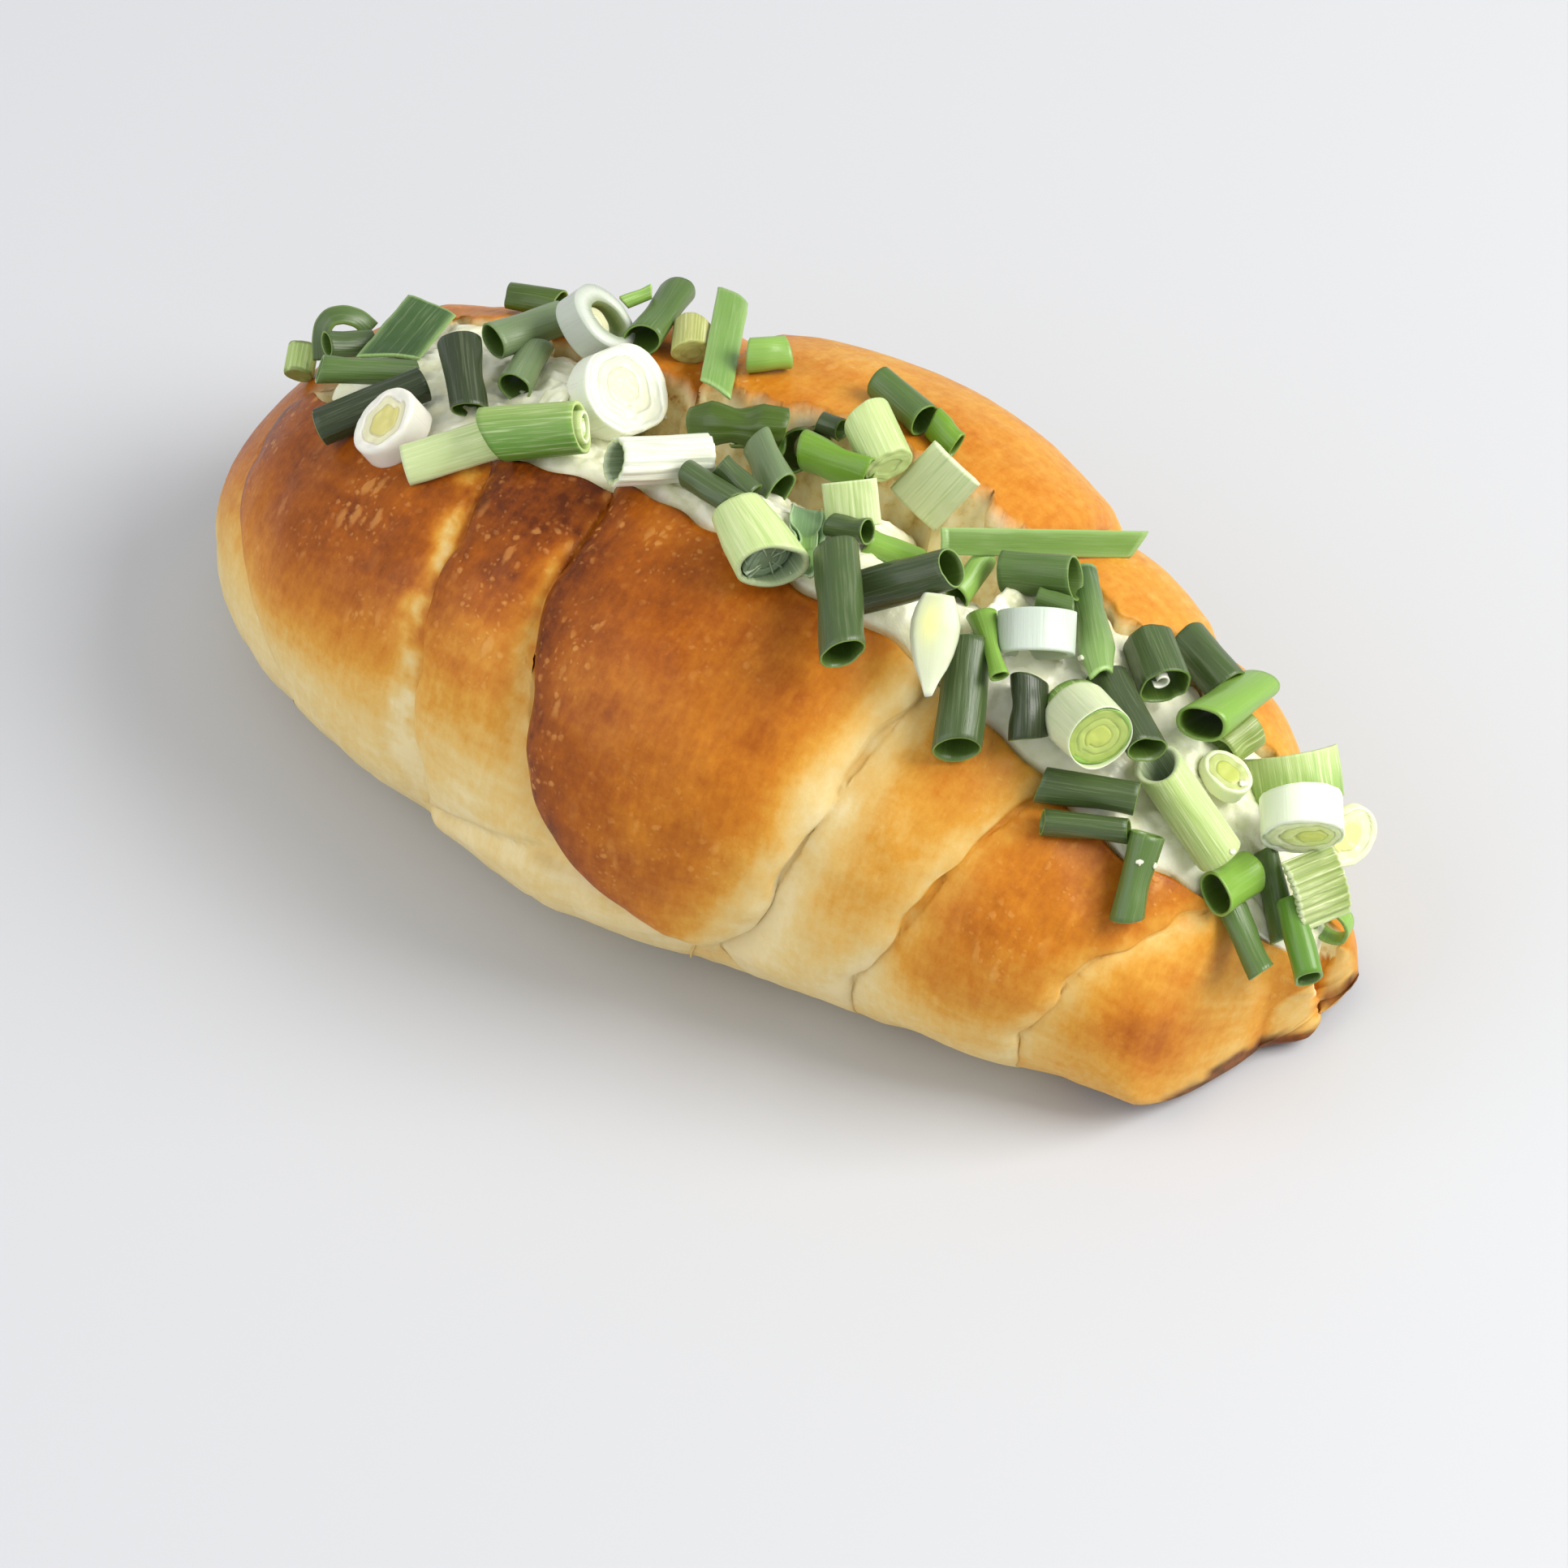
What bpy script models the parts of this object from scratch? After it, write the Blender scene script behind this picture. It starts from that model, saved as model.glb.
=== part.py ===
"""Salt bread, cut open along the top, filled with cream cheese and strewn with
cut scallions.  Three pieces: the baked roll, the filling that runs through its
cut, and the heap of scallion pieces that lies on the filling.

Frame: metres, +Z up, the roll lies along X, its cut opens upwards, the front
side (-Y) is the one with the tip of the rolled dough.
"""
import bpy
import bmesh
import math
import numpy as np
from mathutils import Vector
from mathutils.bvhtree import BVHTree

MM = 0.001

# ------------------------------------------------------------ driving sizes
X_LEFT = -79.3          # blunt left end
X_RIGHT = 77.6          # open right end
SQUARE = 2.3            # how square the cross-section is (2 would be round)
WAIST = 0.42            # height of the widest level, as a part of the height
GAP = 0.45              # room between filling, heap and bread

# along the roll, in mm:  x, half width, centre line, height, lift of the base
BODY = (
    (-79.3,  2.0, -0.5, 11.0, 8.5),
    (-78.8,  7.2, -0.3, 14.3, 5.2),
    (-77.0, 12.9, 0.0, 20.0, 2.6),
    (-74.0, 17.0, 0.5, 26.0, 1.2),
    (-68.0, 23.5, 0.5, 33.0, 0.0),
    (-58.0, 28.5, -1.5, 38.5, 0.0),
    (-40.0, 34.0, -2.0, 46.0, 0.0),
    (-20.0, 38.5, -1.0, 52.5, 0.0),
    (0.0,   41.0, -1.0, 54.5, 0.0),
    (20.0,  37.5,  0.5, 52.5, 0.0),
    (40.0,  32.0,  0.5, 45.5, 0.0),
    (56.0,  27.0,  1.0, 36.5, 0.0),
    (68.0,  19.5,  1.5, 26.0, 0.0),
    (74.0,  13.0,  4.0, 18.5, 0.3),
    (77.6,  9.0,  6.0, 14.0, 1.2),
)

# the creases between the turns of the rolled dough: x at each angle round the
# section (degrees, 0 on top, 90 on the front side, 180 underneath, -90 behind)
CREASES = (
    ((-180, -66), (-120, -64), (-60, -66), (-20, -65), (8, -66), (20, -70), (36, -70), (51, -68), (66, -63), (84, -55), (110, -51), (140, -56)),
    ((-180, -30), (-120, -34), (-60, -37), (-20, -36), (22, -33), (45, -30), (68, -28), (88, -25.5), (102, -25), (130, -26)),
    ((-180, -8), (-120, -16), (-60, -22), (-20, -19), (14, -17), (41, -15.5), (55, -12.5), (69, -9.5), (82, -4.5), (90, 0.5), (100, 10), (107, 13), (120, 12), (150, 4)),
    ((-180, 22), (-120, 24), (-60, 28), (-20, 29), (24, 29), (51, 26.5), (72, 24.3), (90, 21.4), (100, 18.9), (107, 17.2), (120, 19), (150, 21)),
    ((-180, 40), (-120, 42), (-60, 45.5), (-20, 46.5), (26, 46), (48, 42), (66, 40), (78, 37.7), (96, 34.4), (120, 33), (150, 36)),
    ((-180, 58), (-120, 60), (-60, 64), (-20, 66), (18, 66), (30, 64.4), (52, 59.6), (74, 56.4), (91, 54.3), (120, 53), (150, 55)),
)
STEP = (0.9, 1.4, 2.6, 2.3, 1.9, 1.6)          # height of each step, mm
BULGE = (0.0, 0.9, 0.6, 1.6, 0.8, 0.8, 0.4)    # belly of each turn, mm
# which side of each crease lies on top: the middle turn covers its neighbours
OVER_RIGHT = (True, True, True, False, False, False)
ROUND = 2.4             # radius of a turn's rolled edge
TUCK = 6.0              # how far a covered turn takes to come up again
TIP_X = 15.0            # where the middle turn's tip ends, low on the front side

# the cut: x, front lip, back lip, depth as a part of the height
CUT = (
    (-79.3, -3.0, 2.5, 0.95),
    (-70.0, -4.0, 4.0, 0.95),
    (-66.0, -5.5, 7.5, 0.80),
    (-58.0, -9.5, 12.0, 0.55),
    (-50.0, -11.5, 13.0, 0.42),
    (-38.0, -12.0, 12.0, 0.37),
    (-22.0, -10.5, 11.0, 0.35),
    (-8.0, -10.5, 11.0, 0.35),
    (6.0, -12.0, 13.5, 0.35),
    (20.0, -11.0, 14.5, 0.35),
    (36.0, -10.5, 14.0, 0.35),
    (50.0, -11.0, 16.0, 0.34),
    (60.0, -8.5, 16.5, 0.32),
    (70.0, -2.0, 14.0, 0.26),
    (77.6, 4.0, 10.0, 0.20),
)
CUT_CLOSED, CUT_OPEN = -70.0, -64.0            # the cut ends short of the left end

# the filling: x, how far it reaches up the front wall and the back wall of the
# cut (1 is the lip), and how high it crowns between them
FILL_LEFT, FILL_RIGHT = -63.5, 73.5
FILL = (
    (-64.0, 0.85, 0.85, 0.5),
    (-50.0, 0.85, 0.80, 1.5),
    (-36.0, 0.80, 0.80, 3.0),
    (-26.0, 0.70, 0.80, 4.2),
    (-14.0, 0.66, 0.80, 5.4),
    (-3.0, 0.70, 0.85, 6.0),
    (6.0, 0.80, 0.88, 6.4),
    (16.0, 0.90, 0.86, 6.4),
    (26.0, 0.90, 0.88, 6.2),
    (38.0, 0.88, 0.88, 5.4),
    (52.0, 0.88, 0.85, 4.0),
    (64.0, 0.85, 0.85, 2.5),
    (76.0, 0.80, 0.80, 0.5),
)

# columns of the mesh round the section
N_OUT, N_IN, N_TOP = 34, 8, 8


def smooth(table, x, col):
    """Cubic curve through column `col` of a table whose first column is x."""
    xs = np.array([r[0] for r in table], float)
    ys = np.array([r[col] for r in table], float)
    m = np.gradient(ys, xs)
    x = np.clip(np.asarray(x, float), xs[0], xs[-1])
    i = np.clip(np.searchsorted(xs, x) - 1, 0, len(xs) - 2)
    h = xs[i + 1] - xs[i]
    t = (x - xs[i]) / h
    return ((2 * t**3 - 3 * t**2 + 1) * ys[i] + (t**3 - 2 * t**2 + t) * h * m[i]
            + (-2 * t**3 + 3 * t**2) * ys[i + 1] + (t**3 - t**2) * h * m[i + 1])


def crease_x(k, t):
    """x of crease k at angle t, a closed curve round the section."""
    pts = CREASES[k]
    table = pts + ((pts[0][0] + 360, pts[0][1]),)
    t = (np.asarray(t, float) + 180.0) % 360.0 - 180.0
    return smooth(table, t, 1)


def fade(a, b, x):
    s = np.clip((np.asarray(x, float) - a) / (b - a), 0, 1)
    return s * s * (3 - 2 * s)


def turn_edges(k, t):
    left = np.full_like(t, X_LEFT) if k == 0 else crease_x(k - 1, t)
    right = np.full_like(t, X_RIGHT) if k == 6 else crease_x(k, t)
    return left, right


def relief(k, x, t):
    """Height of turn k above the plain roll, mm."""
    tt = (t + 180.0) % 360.0 - 180.0
    amp = 1 - fade(96, 126, np.abs(tt))
    left, right = turn_edges(k, t)
    span = np.maximum(right - left, 1.0)
    f = np.clip((x - left) / span, 0, 1)
    d = BULGE[k] * np.sin(np.pi * f) ** 0.8 * amp
    for side, c in ((0, k - 1), (1, k)):
        if c < 0 or c > 5:
            continue
        s = STEP[c] * (amp if c not in (2, 3) else amp * (1 - fade(98, 109, tt) * (1 - fade(180, 181, tt))))
        q = np.maximum((x - left) if side == 0 else (right - x), 0)
        on_top = OVER_RIGHT[c] if side == 0 else not OVER_RIGHT[c]
        if on_top:
            u = np.clip(1 - q / ROUND, 0, 1)
            d = d - s * (1 - np.sqrt(1 - u * u))
        else:
            d = d - s * np.exp(-(q / TUCK) ** 1.3) * np.clip(span / 10, 0, 1)
    # the tip of the dough lies in a shallow dent of the turn under it
    return d - 1.6 * np.exp(-((x - TIP_X) / 8.0) ** 2) * fade(97, 107, tt) * (1 - fade(110, 126, tt))


def outer(x, t, d):
    """Point of the crust at angle t, raised by d."""
    b, yc = smooth(BODY, x, 1), smooth(BODY, x, 2)
    h, zb = smooth(BODY, x, 3), np.maximum(smooth(BODY, x, 4), 0.0)
    # towards the open end the roll is widest near its foot
    zc = np.maximum(WAIST * h * (1 - 0.72 * fade(60, 73, x)), zb + 1.0)
    tr = np.radians(t)
    c, s = -np.sin(tr), np.cos(tr)
    r = (np.abs(c) ** SQUARE + np.abs(s) ** SQUARE) ** (-1 / SQUARE)
    y = b * r * c
    z = np.where(s > 0, (h - zc) * r * s, 1.14 * (zc - zb) * r * s)
    n = np.maximum(np.hypot(y, z), 1e-6)
    g = (n + d) / n
    z = zc + z * g
    return yc + y * g, np.maximum(z, zb)


def rows():
    """The rows of the mesh: turn, part of its span, and mm past that."""
    out = [(0, 0.0, 0.10), (0, 0.0, 0.5), (0, 0.0, 1.6), (0, 0.0, 3.4), (0, 0.0, 6.0), (0, 0.72, 0.0)]
    n_mid = (0, 4, 2, 5, 2, 2, 2)
    for k in range(7):
        c = k - 1
        if c >= 0:
            out += [(k, 0.0, q) for q in ((0.25, 1.1, 2.8) if OVER_RIGHT[c] else (0.7, 3.0))]
        out += [(k, (i + 1) / (n_mid[k] + 1), 0.0) for i in range(n_mid[k])]
        if k < 6:
            out += [(k, 1.0, -q) for q in ((2.8, 1.1, 0.25) if not OVER_RIGHT[k] else (3.0, 0.7))]
    out += [(6, 1.0, -4.0), (6, 1.0, -1.2), (6, 1.0, -0.3), (6, 1.0, 0.0)]
    return out


def row_x(k, f, off, t):
    left, right = turn_edges(k, t)
    room = np.maximum(right - left, 0.6)
    m = np.minimum(1.0, room * 0.1)
    if f == 0.0 or f == 1.0:
        return left + room * f + off * m
    return left + 3.2 * m + (room - 6.4 * m) * f


def blunt(x, y):
    """The open end was cut off unevenly: its front half ends first, and it is
    notched where the cut runs out."""
    keep = 0.56 + 0.35 * fade(-2.0, 3.5, y) - 0.20 * np.exp(-((y - 8.6) / 2.0) ** 2)
    return np.where(x > 66.0, 66.0 + (x - 66.0) * keep, x)


def inset(y, z, e):
    """A closed outline moved inwards by e (it runs front, under, back, cut)."""
    ty = np.roll(y, -1) - np.roll(y, 1)
    tz = np.roll(z, -1) - np.roll(z, 1)
    n = np.maximum(np.hypot(ty, tz), 1e-9)
    return y - tz / n * e, z + ty / n * e


def wall(xw, a, lip_f, lip_n):
    """Wall of the cut: a runs from -1 at the back lip to 1 at the front lip."""
    ys = 0.5 * (lip_f[0] + lip_n[0])
    zb = smooth(CUT, xw, 3) * smooth(BODY, xw, 3)
    yl = np.where(a < 0, lip_f[0], lip_n[0])
    zl = np.where(a < 0, lip_f[1], lip_n[1])
    return ys + (yl - ys) * np.abs(a) ** 0.75, zb + (zl - zb) * np.abs(a) ** 1.6


def loaf_grid():
    """Every row of the bread as a closed ring: crust from the front lip round
    to the back lip, then down and up the walls of the cut."""
    rings = []
    for k, f, off in rows():
        u = np.linspace(0, 1, N_OUT)
        tn, tf = 15.0, 15.0
        for _ in range(6):
            t = tn + (360.0 - tf - tn) * u
            x = row_x(k, f, off, t)
            ends = np.array([x[0], x[-1]])
            b, yc = smooth(BODY, ends, 1), smooth(BODY, ends, 2)
            yn, yf = smooth(CUT, ends[:1], 1)[0], smooth(CUT, ends[1:], 2)[0]
            tn = math.degrees(math.asin(np.clip((yc[0] - yn) / (b[0] * 1.01), 0.04, 0.8)))
            tf = math.degrees(math.asin(np.clip((yf - yc[1]) / (b[1] * 1.01), 0.04, 0.8)))
        y, z = outer(x, t, relief(k, x, t))
        v = np.linspace(0, 1, N_IN + 2)[1:-1]
        xw = x[-1] + (x[0] - x[-1]) * v
        yw, zw = wall(xw, 2 * v - 1, (y[-1], z[-1]), (y[0], z[0]))
        # where the cut is closed the walls lie in the crust
        ta = -tf + (tn + tf) * v
        yo, zo = outer(xw, ta, relief(k, xw, ta))
        w = fade(CUT_CLOSED, CUT_OPEN, xw)
        yw, zw = yo + (yw - yo) * w, zo + (zw - zo) * w
        X, Y, Z = np.r_[x, xw], np.r_[y, yw], np.r_[z, zw]
        if k == 6 and f == 1.0 and off > -1.0:
            e = 1.5 * (1 - math.sqrt(max(0.0, 1 - (1 + off / 1.2) ** 2))) if off < 0 else 1.3
            Y, Z = inset(Y, Z, e)
        rings.append(np.stack([blunt(X, Y), Y, Z], 1))
    return rings


def filling_grid(rings):
    """The filling's rows, from the same rows as the bread: walls and floor of
    the cut, kept clear of the bread, and a crowned top between the lips."""
    out, tops = [], []
    v = np.linspace(0, 1, N_TOP)[1:-1]
    for ring in rings:
        lip_n, lip_f, w = ring[0], ring[N_OUT - 1], ring[N_OUT:]
        x = 0.5 * (lip_n[0] + lip_f[0])
        if x < FILL_LEFT or x > FILL_RIGHT:
            continue
        low = float(smooth(FILL, x, 2))
        far = w[0] + (lip_f - w[0]) * low
        near = w[-1] + (lip_n - w[-1]) * float(smooth(FILL, x, 1))
        u = np.vstack([far, w, near])
        ty, tz = np.gradient(u[:, 1]), np.gradient(u[:, 2])
        n = np.hypot(ty, tz)
        u[:, 1] += tz / n * GAP
        u[:, 2] -= ty / n * GAP
        a, b = u[-1], u[0]
        top = a + (b - a) * v[:, None]
        crown = float(smooth(FILL, x, 3))
        lump = 0.6 * np.sin(x * 0.42 + 5 * v) + 0.5 * np.sin(x * 0.23 - 9 * v)
        top[:, 2] += crown * (4 * v * (1 - v)) ** 0.7 + lump * np.sin(np.pi * v)
        out.append(np.vstack([u, top]))
        tops.append(np.vstack([a, top, b]))
    # both ends are drawn in
    def drawn(ring, k, dx):
        c = ring.mean(0)
        r = c + (ring - c) * k
        r[:, 0] = ring[:, 0] + dx
        return r
    first = drawn(out[0], 0.55, -0.9)
    last = drawn(out[-1], 0.6, 0.8)
    return [first] + out + [last], tops


# ------------------------------------------------------------ the scallions
# The pieces were measured in a picture of the roll, which looks down on it
# from the front right.  One picture unit is 0.1013 mm; (955.7, 964.3) is the
# middle of the roll's base.
UNIT = 0.1013
DISTANCE = 955.0
TURN, RISE, ROLL = math.radians(34.5), math.radians(49.1), math.radians(1.0)
BACK = np.array([math.sin(TURN) * math.cos(RISE), -math.cos(TURN) * math.cos(RISE), math.sin(RISE)])
_side = np.array([math.cos(TURN), math.sin(TURN), 0.0])
_rise = np.cross(BACK, _side)
RIGHT = _side * math.cos(ROLL) + _rise * math.sin(ROLL)
UP = -_side * math.sin(ROLL) + _rise * math.cos(ROLL)
EYE = BACK * DISTANCE + (RIGHT * 10.3 - UP * 1.7) * UNIT

# Each piece: kind, the two ends of its axis in the picture (the end that shows
# first), its width, and how much of its first end shows: the short width of
# that oval over its long one, or None where the piece lies along what is
# under it.  Kinds: T dark tube, G bright tube, P pale striped tube, S white
# slice, W white tube, L leaf strip, Q pale strip, C curled ring.
# The lowest pieces come first.
SCALLIONS = (
    ("C", 425, 424, 441, 400, 64, 0.85),
    ("T", 407, 428, 460, 425, 32, 0.50),
    ("P", 372, 466, 377, 430, 38, 0.50),
    ("T", 399, 458, 515, 462, 34, 0.22),
    ("L", 483, 446, 533, 377, 68, None),
    ("T", 399, 529, 524, 477, 43, None),
    ("T", 582, 508, 567, 425, 50, 0.55),
    ("Q", 503, 575, 612, 543, 50, None),
    ("S", 475, 520, 497, 544, 84, 0.70),
    ("T", 628, 366, 693, 380, 33, None),
    ("T", 612, 425, 695, 392, 45, 0.60),
    ("P", 803, 362, 770, 376, 18, None),
    ("W", 747, 394, 724, 407, 94, 0.66),
    ("P", 716, 530, 612, 537, 64, 0.30),
    ("T", 637, 481, 662, 430, 41, 0.70),
    ("S", 776, 482, 752, 489, 122, 0.85),
    ("P", 761, 571, 869, 568, 58, 0.25),
    ("T", 793, 424, 833, 362, 43, 0.75),
    ("P", 853, 438, 855, 408, 48, 0.75),
    ("L", 883, 485, 903, 364, 40, None),
    ("G", 924, 441, 970, 437, 42, None),
    ("T", 962, 532, 856, 526, 56, 0.30),
    ("T", 925, 612, 888, 575, 36, None),
    ("T", 903, 621, 850, 587, 38, 0.50),
    ("G", 979, 559, 1000, 552, 54, 0.78),
    ("T", 960, 608, 933, 547, 44, 0.65),
    ("T", 1010, 521, 1036, 532, 30, None),
    ("Q", 1052, 650, 1046, 596, 64, None),
    ("P", 1094, 576, 1068, 518, 62, 0.45),
    ("G", 1068, 588, 993, 558, 48, 0.30),
    ("G", 1176, 552, 1148, 522, 36, 0.35),
    ("T", 1136, 521, 1084, 473, 42, 0.60),
    ("Q", 1126, 627, 1177, 574, 74, None),
    ("G", 1066, 668, 1130, 692, 30, None),
    ("T", 1067, 657, 1025, 648, 30, 0.60),
    ("L", 992, 704, 1002, 624, 54, None),
    ("P", 951, 698, 911, 633, 82, 0.50),
    ("T", 1038, 803, 1030, 682, 55, 0.60),
    ("G", 1178, 735, 1212, 692, 34, 0.50),
    ("T", 1167, 703, 1063, 731, 52, 0.48),
    ("T", 1320, 714, 1236, 706, 52, 0.18),
    ("L", 1137, 672, 1425, 669, 32, None),
    ("G", 1318, 750, 1278, 737, 26, None),
    ("W", 1275, 806, 1276, 757, 92, 0.14),
    ("L", 1352, 832, 1334, 706, 40, None),
    ("T", 1177, 920, 1192, 800, 57, 0.36),
    ("L", 1141, 855, 1155, 739, 56, None),
    ("G", 1228, 832, 1209, 760, 28, 0.70),
    ("T", 1265, 908, 1266, 842, 47, None),
    ("T", 1508, 845, 1462, 792, 52, None),
    ("T", 1432, 845, 1413, 792, 62, 0.62),
    ("T", 1408, 922, 1363, 836, 46, 0.55),
    ("P", 1350, 908, 1320, 874, 78, 0.88),
    ("P", 1502, 925, 1540, 898, 46, None),
    ("G", 1475, 891, 1543, 846, 48, 0.85),
    ("S", 1510, 950, 1500, 962, 60, 0.78),
    ("P", 1598, 990, 1588, 930, 110, None),
    ("T", 1394, 985, 1284, 967, 43, None),
    ("T", 1385, 1024, 1286, 1014, 33, None),
    ("T", 1388, 1127, 1411, 1031, 40, None),
    ("P", 1424, 945, 1497, 1050, 58, None),
    ("S", 1658, 1032, 1645, 1024, 76, 0.80),
    ("T", 1579, 1152, 1557, 1048, 33, None),
    ("G", 1607, 1202, 1585, 1110, 36, 0.28),
    ("C", 1634, 1141, 1640, 1133, 48, 0.75),
    ("W", 1601, 1030, 1600, 984, 100, 0.38),
    ("Q", 1588, 1104, 1647, 1082, 84, None),
    ("T", 1549, 1194, 1516, 1118, 35, 0.30),
    ("G", 1495, 1100, 1537, 1075, 52, 0.70),
)
SWELL = 0.45            # the heap's outline runs this far outside each piece
HEAP_CLEAR = 0.75       # and this far above bread and filling
FINENESS = 1.05         # finest detail of the heap's outline
HEAP_SHARE = 0.085      # share of its facets that are kept
LINK = 1.3              # radius of the cheese that holds neighbouring pieces
CRUMB = 8               # corners of the largest crumb that may be dropped


def towards(u, v):
    """Direction from the eye through a point of the picture."""
    x, y = (u - 966.0) * UNIT, -(v - 966.0) * UNIT
    d = RIGHT * x + UP * y - BACK * DISTANCE
    return d / np.linalg.norm(d)


def under(u, v, trees):
    """First point of bread or filling behind a point of the picture."""
    best = None
    for tree in trees:
        hit, n, _, dist = tree.ray_cast(Vector(EYE), Vector(towards(u, v)))
        if hit is not None and (best is None or dist < best[2]):
            best = (np.array(hit), np.array(n), dist)
    return best


def clearance(tree, c):
    """Distance from a point to a closed surface, negative inside it."""
    c = Vector(c)
    loc, n, _, dist = tree.find_nearest(c, 30.0)
    if loc is None:
        return 30.0, Vector((0, 0, 1))
    hit, m, _, _ = tree.ray_cast(c, Vector(BACK))
    inside = hit is not None and m.dot(Vector(BACK)) > 0
    away = (loc - c) if inside else (c - loc)
    return (-dist if inside else dist), (away.normalized() if dist > 0.02 else n)


def spots(kind, a, d, side, length, r):
    """Balls that fill a piece: centres and one radius."""
    out = []
    if kind in "LQ":
        rs = 0.9
        for i in np.linspace(0, 1, max(2, int(length / 1.6))):
            for j in np.linspace(-1, 1, max(3, int(r / 0.8))):
                out.append(a + d * length * i + side * (r - rs) * j)
        return np.array(out), rs
    rs = min(r, length * 0.5)
    third = np.cross(d, side)
    for i in np.linspace(0, 1, max(2, int(length / rs) + 1)):
        c = a + d * (rs + (length - 2 * rs) * i)
        out.append(c)
        if r - rs > 0.3:
            for q in range(8):
                w = math.pi * q / 4
                out.append(c + (side * math.cos(w) + third * math.sin(w)) * (r - rs))
    return np.array(out), rs


def place(trees, sink_bread, sink_cream, swell):
    """Lay the pieces one after the other: each starts inside what is under it
    and moves up the line of sight until it rests on bread, filling or pieces."""
    laid, done = [], []
    for kind, u0, v0, u1, v1, wide, show in SCALLIONS:
        um, vm = (u0 + u1) / 2, (v0 + v1) / 2
        hits = [h for h in (under(um + du, vm + dv, trees) for du, dv in ((0, 0), (14, 0), (-14, 0), (0, 14), (0, -14))) if h]
        if not hits:
            hits = [h for h in (under(um + (955 - um) * q, vm + (964 - vm) * q, trees) for q in (0.05, 0.1, 0.15)) if h]
        n = sum(h[1] for h in hits)
        n = n / np.linalg.norm(n)
        base = hits[0][0]
        g = RIGHT * (u0 - u1) - UP * (v0 - v1)      # from the far end to the first
        seen = np.linalg.norm(g) * UNIT
        g = g / np.linalg.norm(g)
        if show is None:
            k = -float(g @ n) / max(float(BACK @ n), 0.35)
            d = g + BACK * float(np.clip(k, -1.3, 1.3))
            d = d / np.linalg.norm(d)
        else:
            d = g * math.sqrt(1 - show * show) + BACK * show
        length = float(np.clip(seen / max(math.sqrt(1 - float(d @ BACK) ** 2), 0.2), 2.5, 32.0))
        r = wide * UNIT / 2
        sight = -towards(um, vm)
        # strips turn their flat side to what they lie on
        side = np.cross(d, n + BACK * 1.3 if kind in "LQ" else BACK)
        side = side / np.linalg.norm(side)
        # the middle of the piece stays on the line of sight through its middle
        line = EYE + towards(um, vm) * float((base - EYE) @ towards(um, vm))
        balls, rs = spots(kind, line - d * length / 2, d, side, length, r)
        third = np.cross(d, side)
        flat = 0.0 if kind in "LQ" else 0.75
        rim = np.array([line + d * (length * 0.5 * e) + (side * math.cos(w) + third * math.sin(w) * flat) * r * 0.75
                        for e in (-0.9, 0.0, 0.95) for w in (math.pi * q / 4 for q in range(8))])
        for step in range(-14, 140):
            p = balls + sight * (step * 0.25)
            ok = True
            for tree, sink in zip(trees, (sink_bread, sink_cream)):
                if any(clearance(tree, c)[0] < rs - (min(sink, 0.25) if kind in "LQ" else sink) for c in p):
                    ok = False
                    break
            # no piece may slip in behind a lip of the cut, with its middle or its ends
            if ok and any(tree.ray_cast(Vector(c), Vector(BACK))[0] is not None for tree in trees for c in np.vstack([p, rim + sight * (step * 0.25)])):
                ok = False
            if ok and done:
                for q, qr in done:
                    m = q - p[:, None]
                    if np.sqrt((m ** 2).sum(-1).min()) < rs + qr - 0.5:
                        ok = False
                        break
            if ok:
                break
        done.append((p, rs))
        a = line + sight * (step * 0.25) - d * length / 2
        laid.append((kind, a, a + d * length, side, r))
    return laid


def links(laid):
    """The shortest tree that joins all pieces: pairs of points on their axes,
    one for every pair of neighbours."""
    lines = [a + (b - a) * np.linspace(0, 1, 9)[:, None] for _, a, b, _, _ in laid]
    joined, free, out = [0], list(range(1, len(laid))), []
    gap = {}
    for i in range(len(laid)):
        for j in range(i):
            m = np.linalg.norm(lines[i][:, None] - lines[j][None], axis=2)
            p, q = np.unravel_index(m.argmin(), m.shape)
            gap[i, j] = (float(m[p, q]) - laid[i][4] - laid[j][4], lines[i][p], lines[j][q])
    while free:
        g, i, j = min((gap[max(i, j), min(i, j)][0], i, j) for i in joined for j in free)
        joined.append(j)
        free.remove(j)
        out.append(gap[max(i, j), min(i, j)][1:])
    return out


def prism(bm, kind, a, b, side, r):
    """A piece's plain outline: eight-sided rod, or a flat strip."""
    d = (b - a) / np.linalg.norm(b - a)
    third = np.cross(d, side)
    a, b = a - d * SWELL, b + d * SWELL
    if kind in "LQ":
        h = 0.6 + SWELL
        corners = [side * (r + SWELL) * x + third * h * y for x, y in ((-1, -1), (1, -1), (1, 1), (-1, 1))]
    else:
        corners = [(side * math.cos(w) + third * math.sin(w)) * (r + SWELL) for w in (math.pi * q / 4 for q in range(8))]
    lo = [bm.verts.new((a + c) * MM) for c in corners]
    hi = [bm.verts.new((b + c) * MM) for c in corners]
    n = len(corners)
    for i in range(n):
        bm.faces.new((lo[i], lo[(i + 1) % n], hi[(i + 1) % n], hi[i]))
    bm.faces.new(list(reversed(lo)))
    bm.faces.new(hi)


def material(name, colour, roughness):
    m = bpy.data.materials.new(name)
    m.use_nodes = True
    b = m.node_tree.nodes["Principled BSDF"]
    b.inputs["Base Color"].default_value = (*colour, 1)
    b.inputs["Roughness"].default_value = roughness
    b.inputs["Metallic"].default_value = 0.0
    m.diffuse_color = (*colour, 1)
    return m


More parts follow.
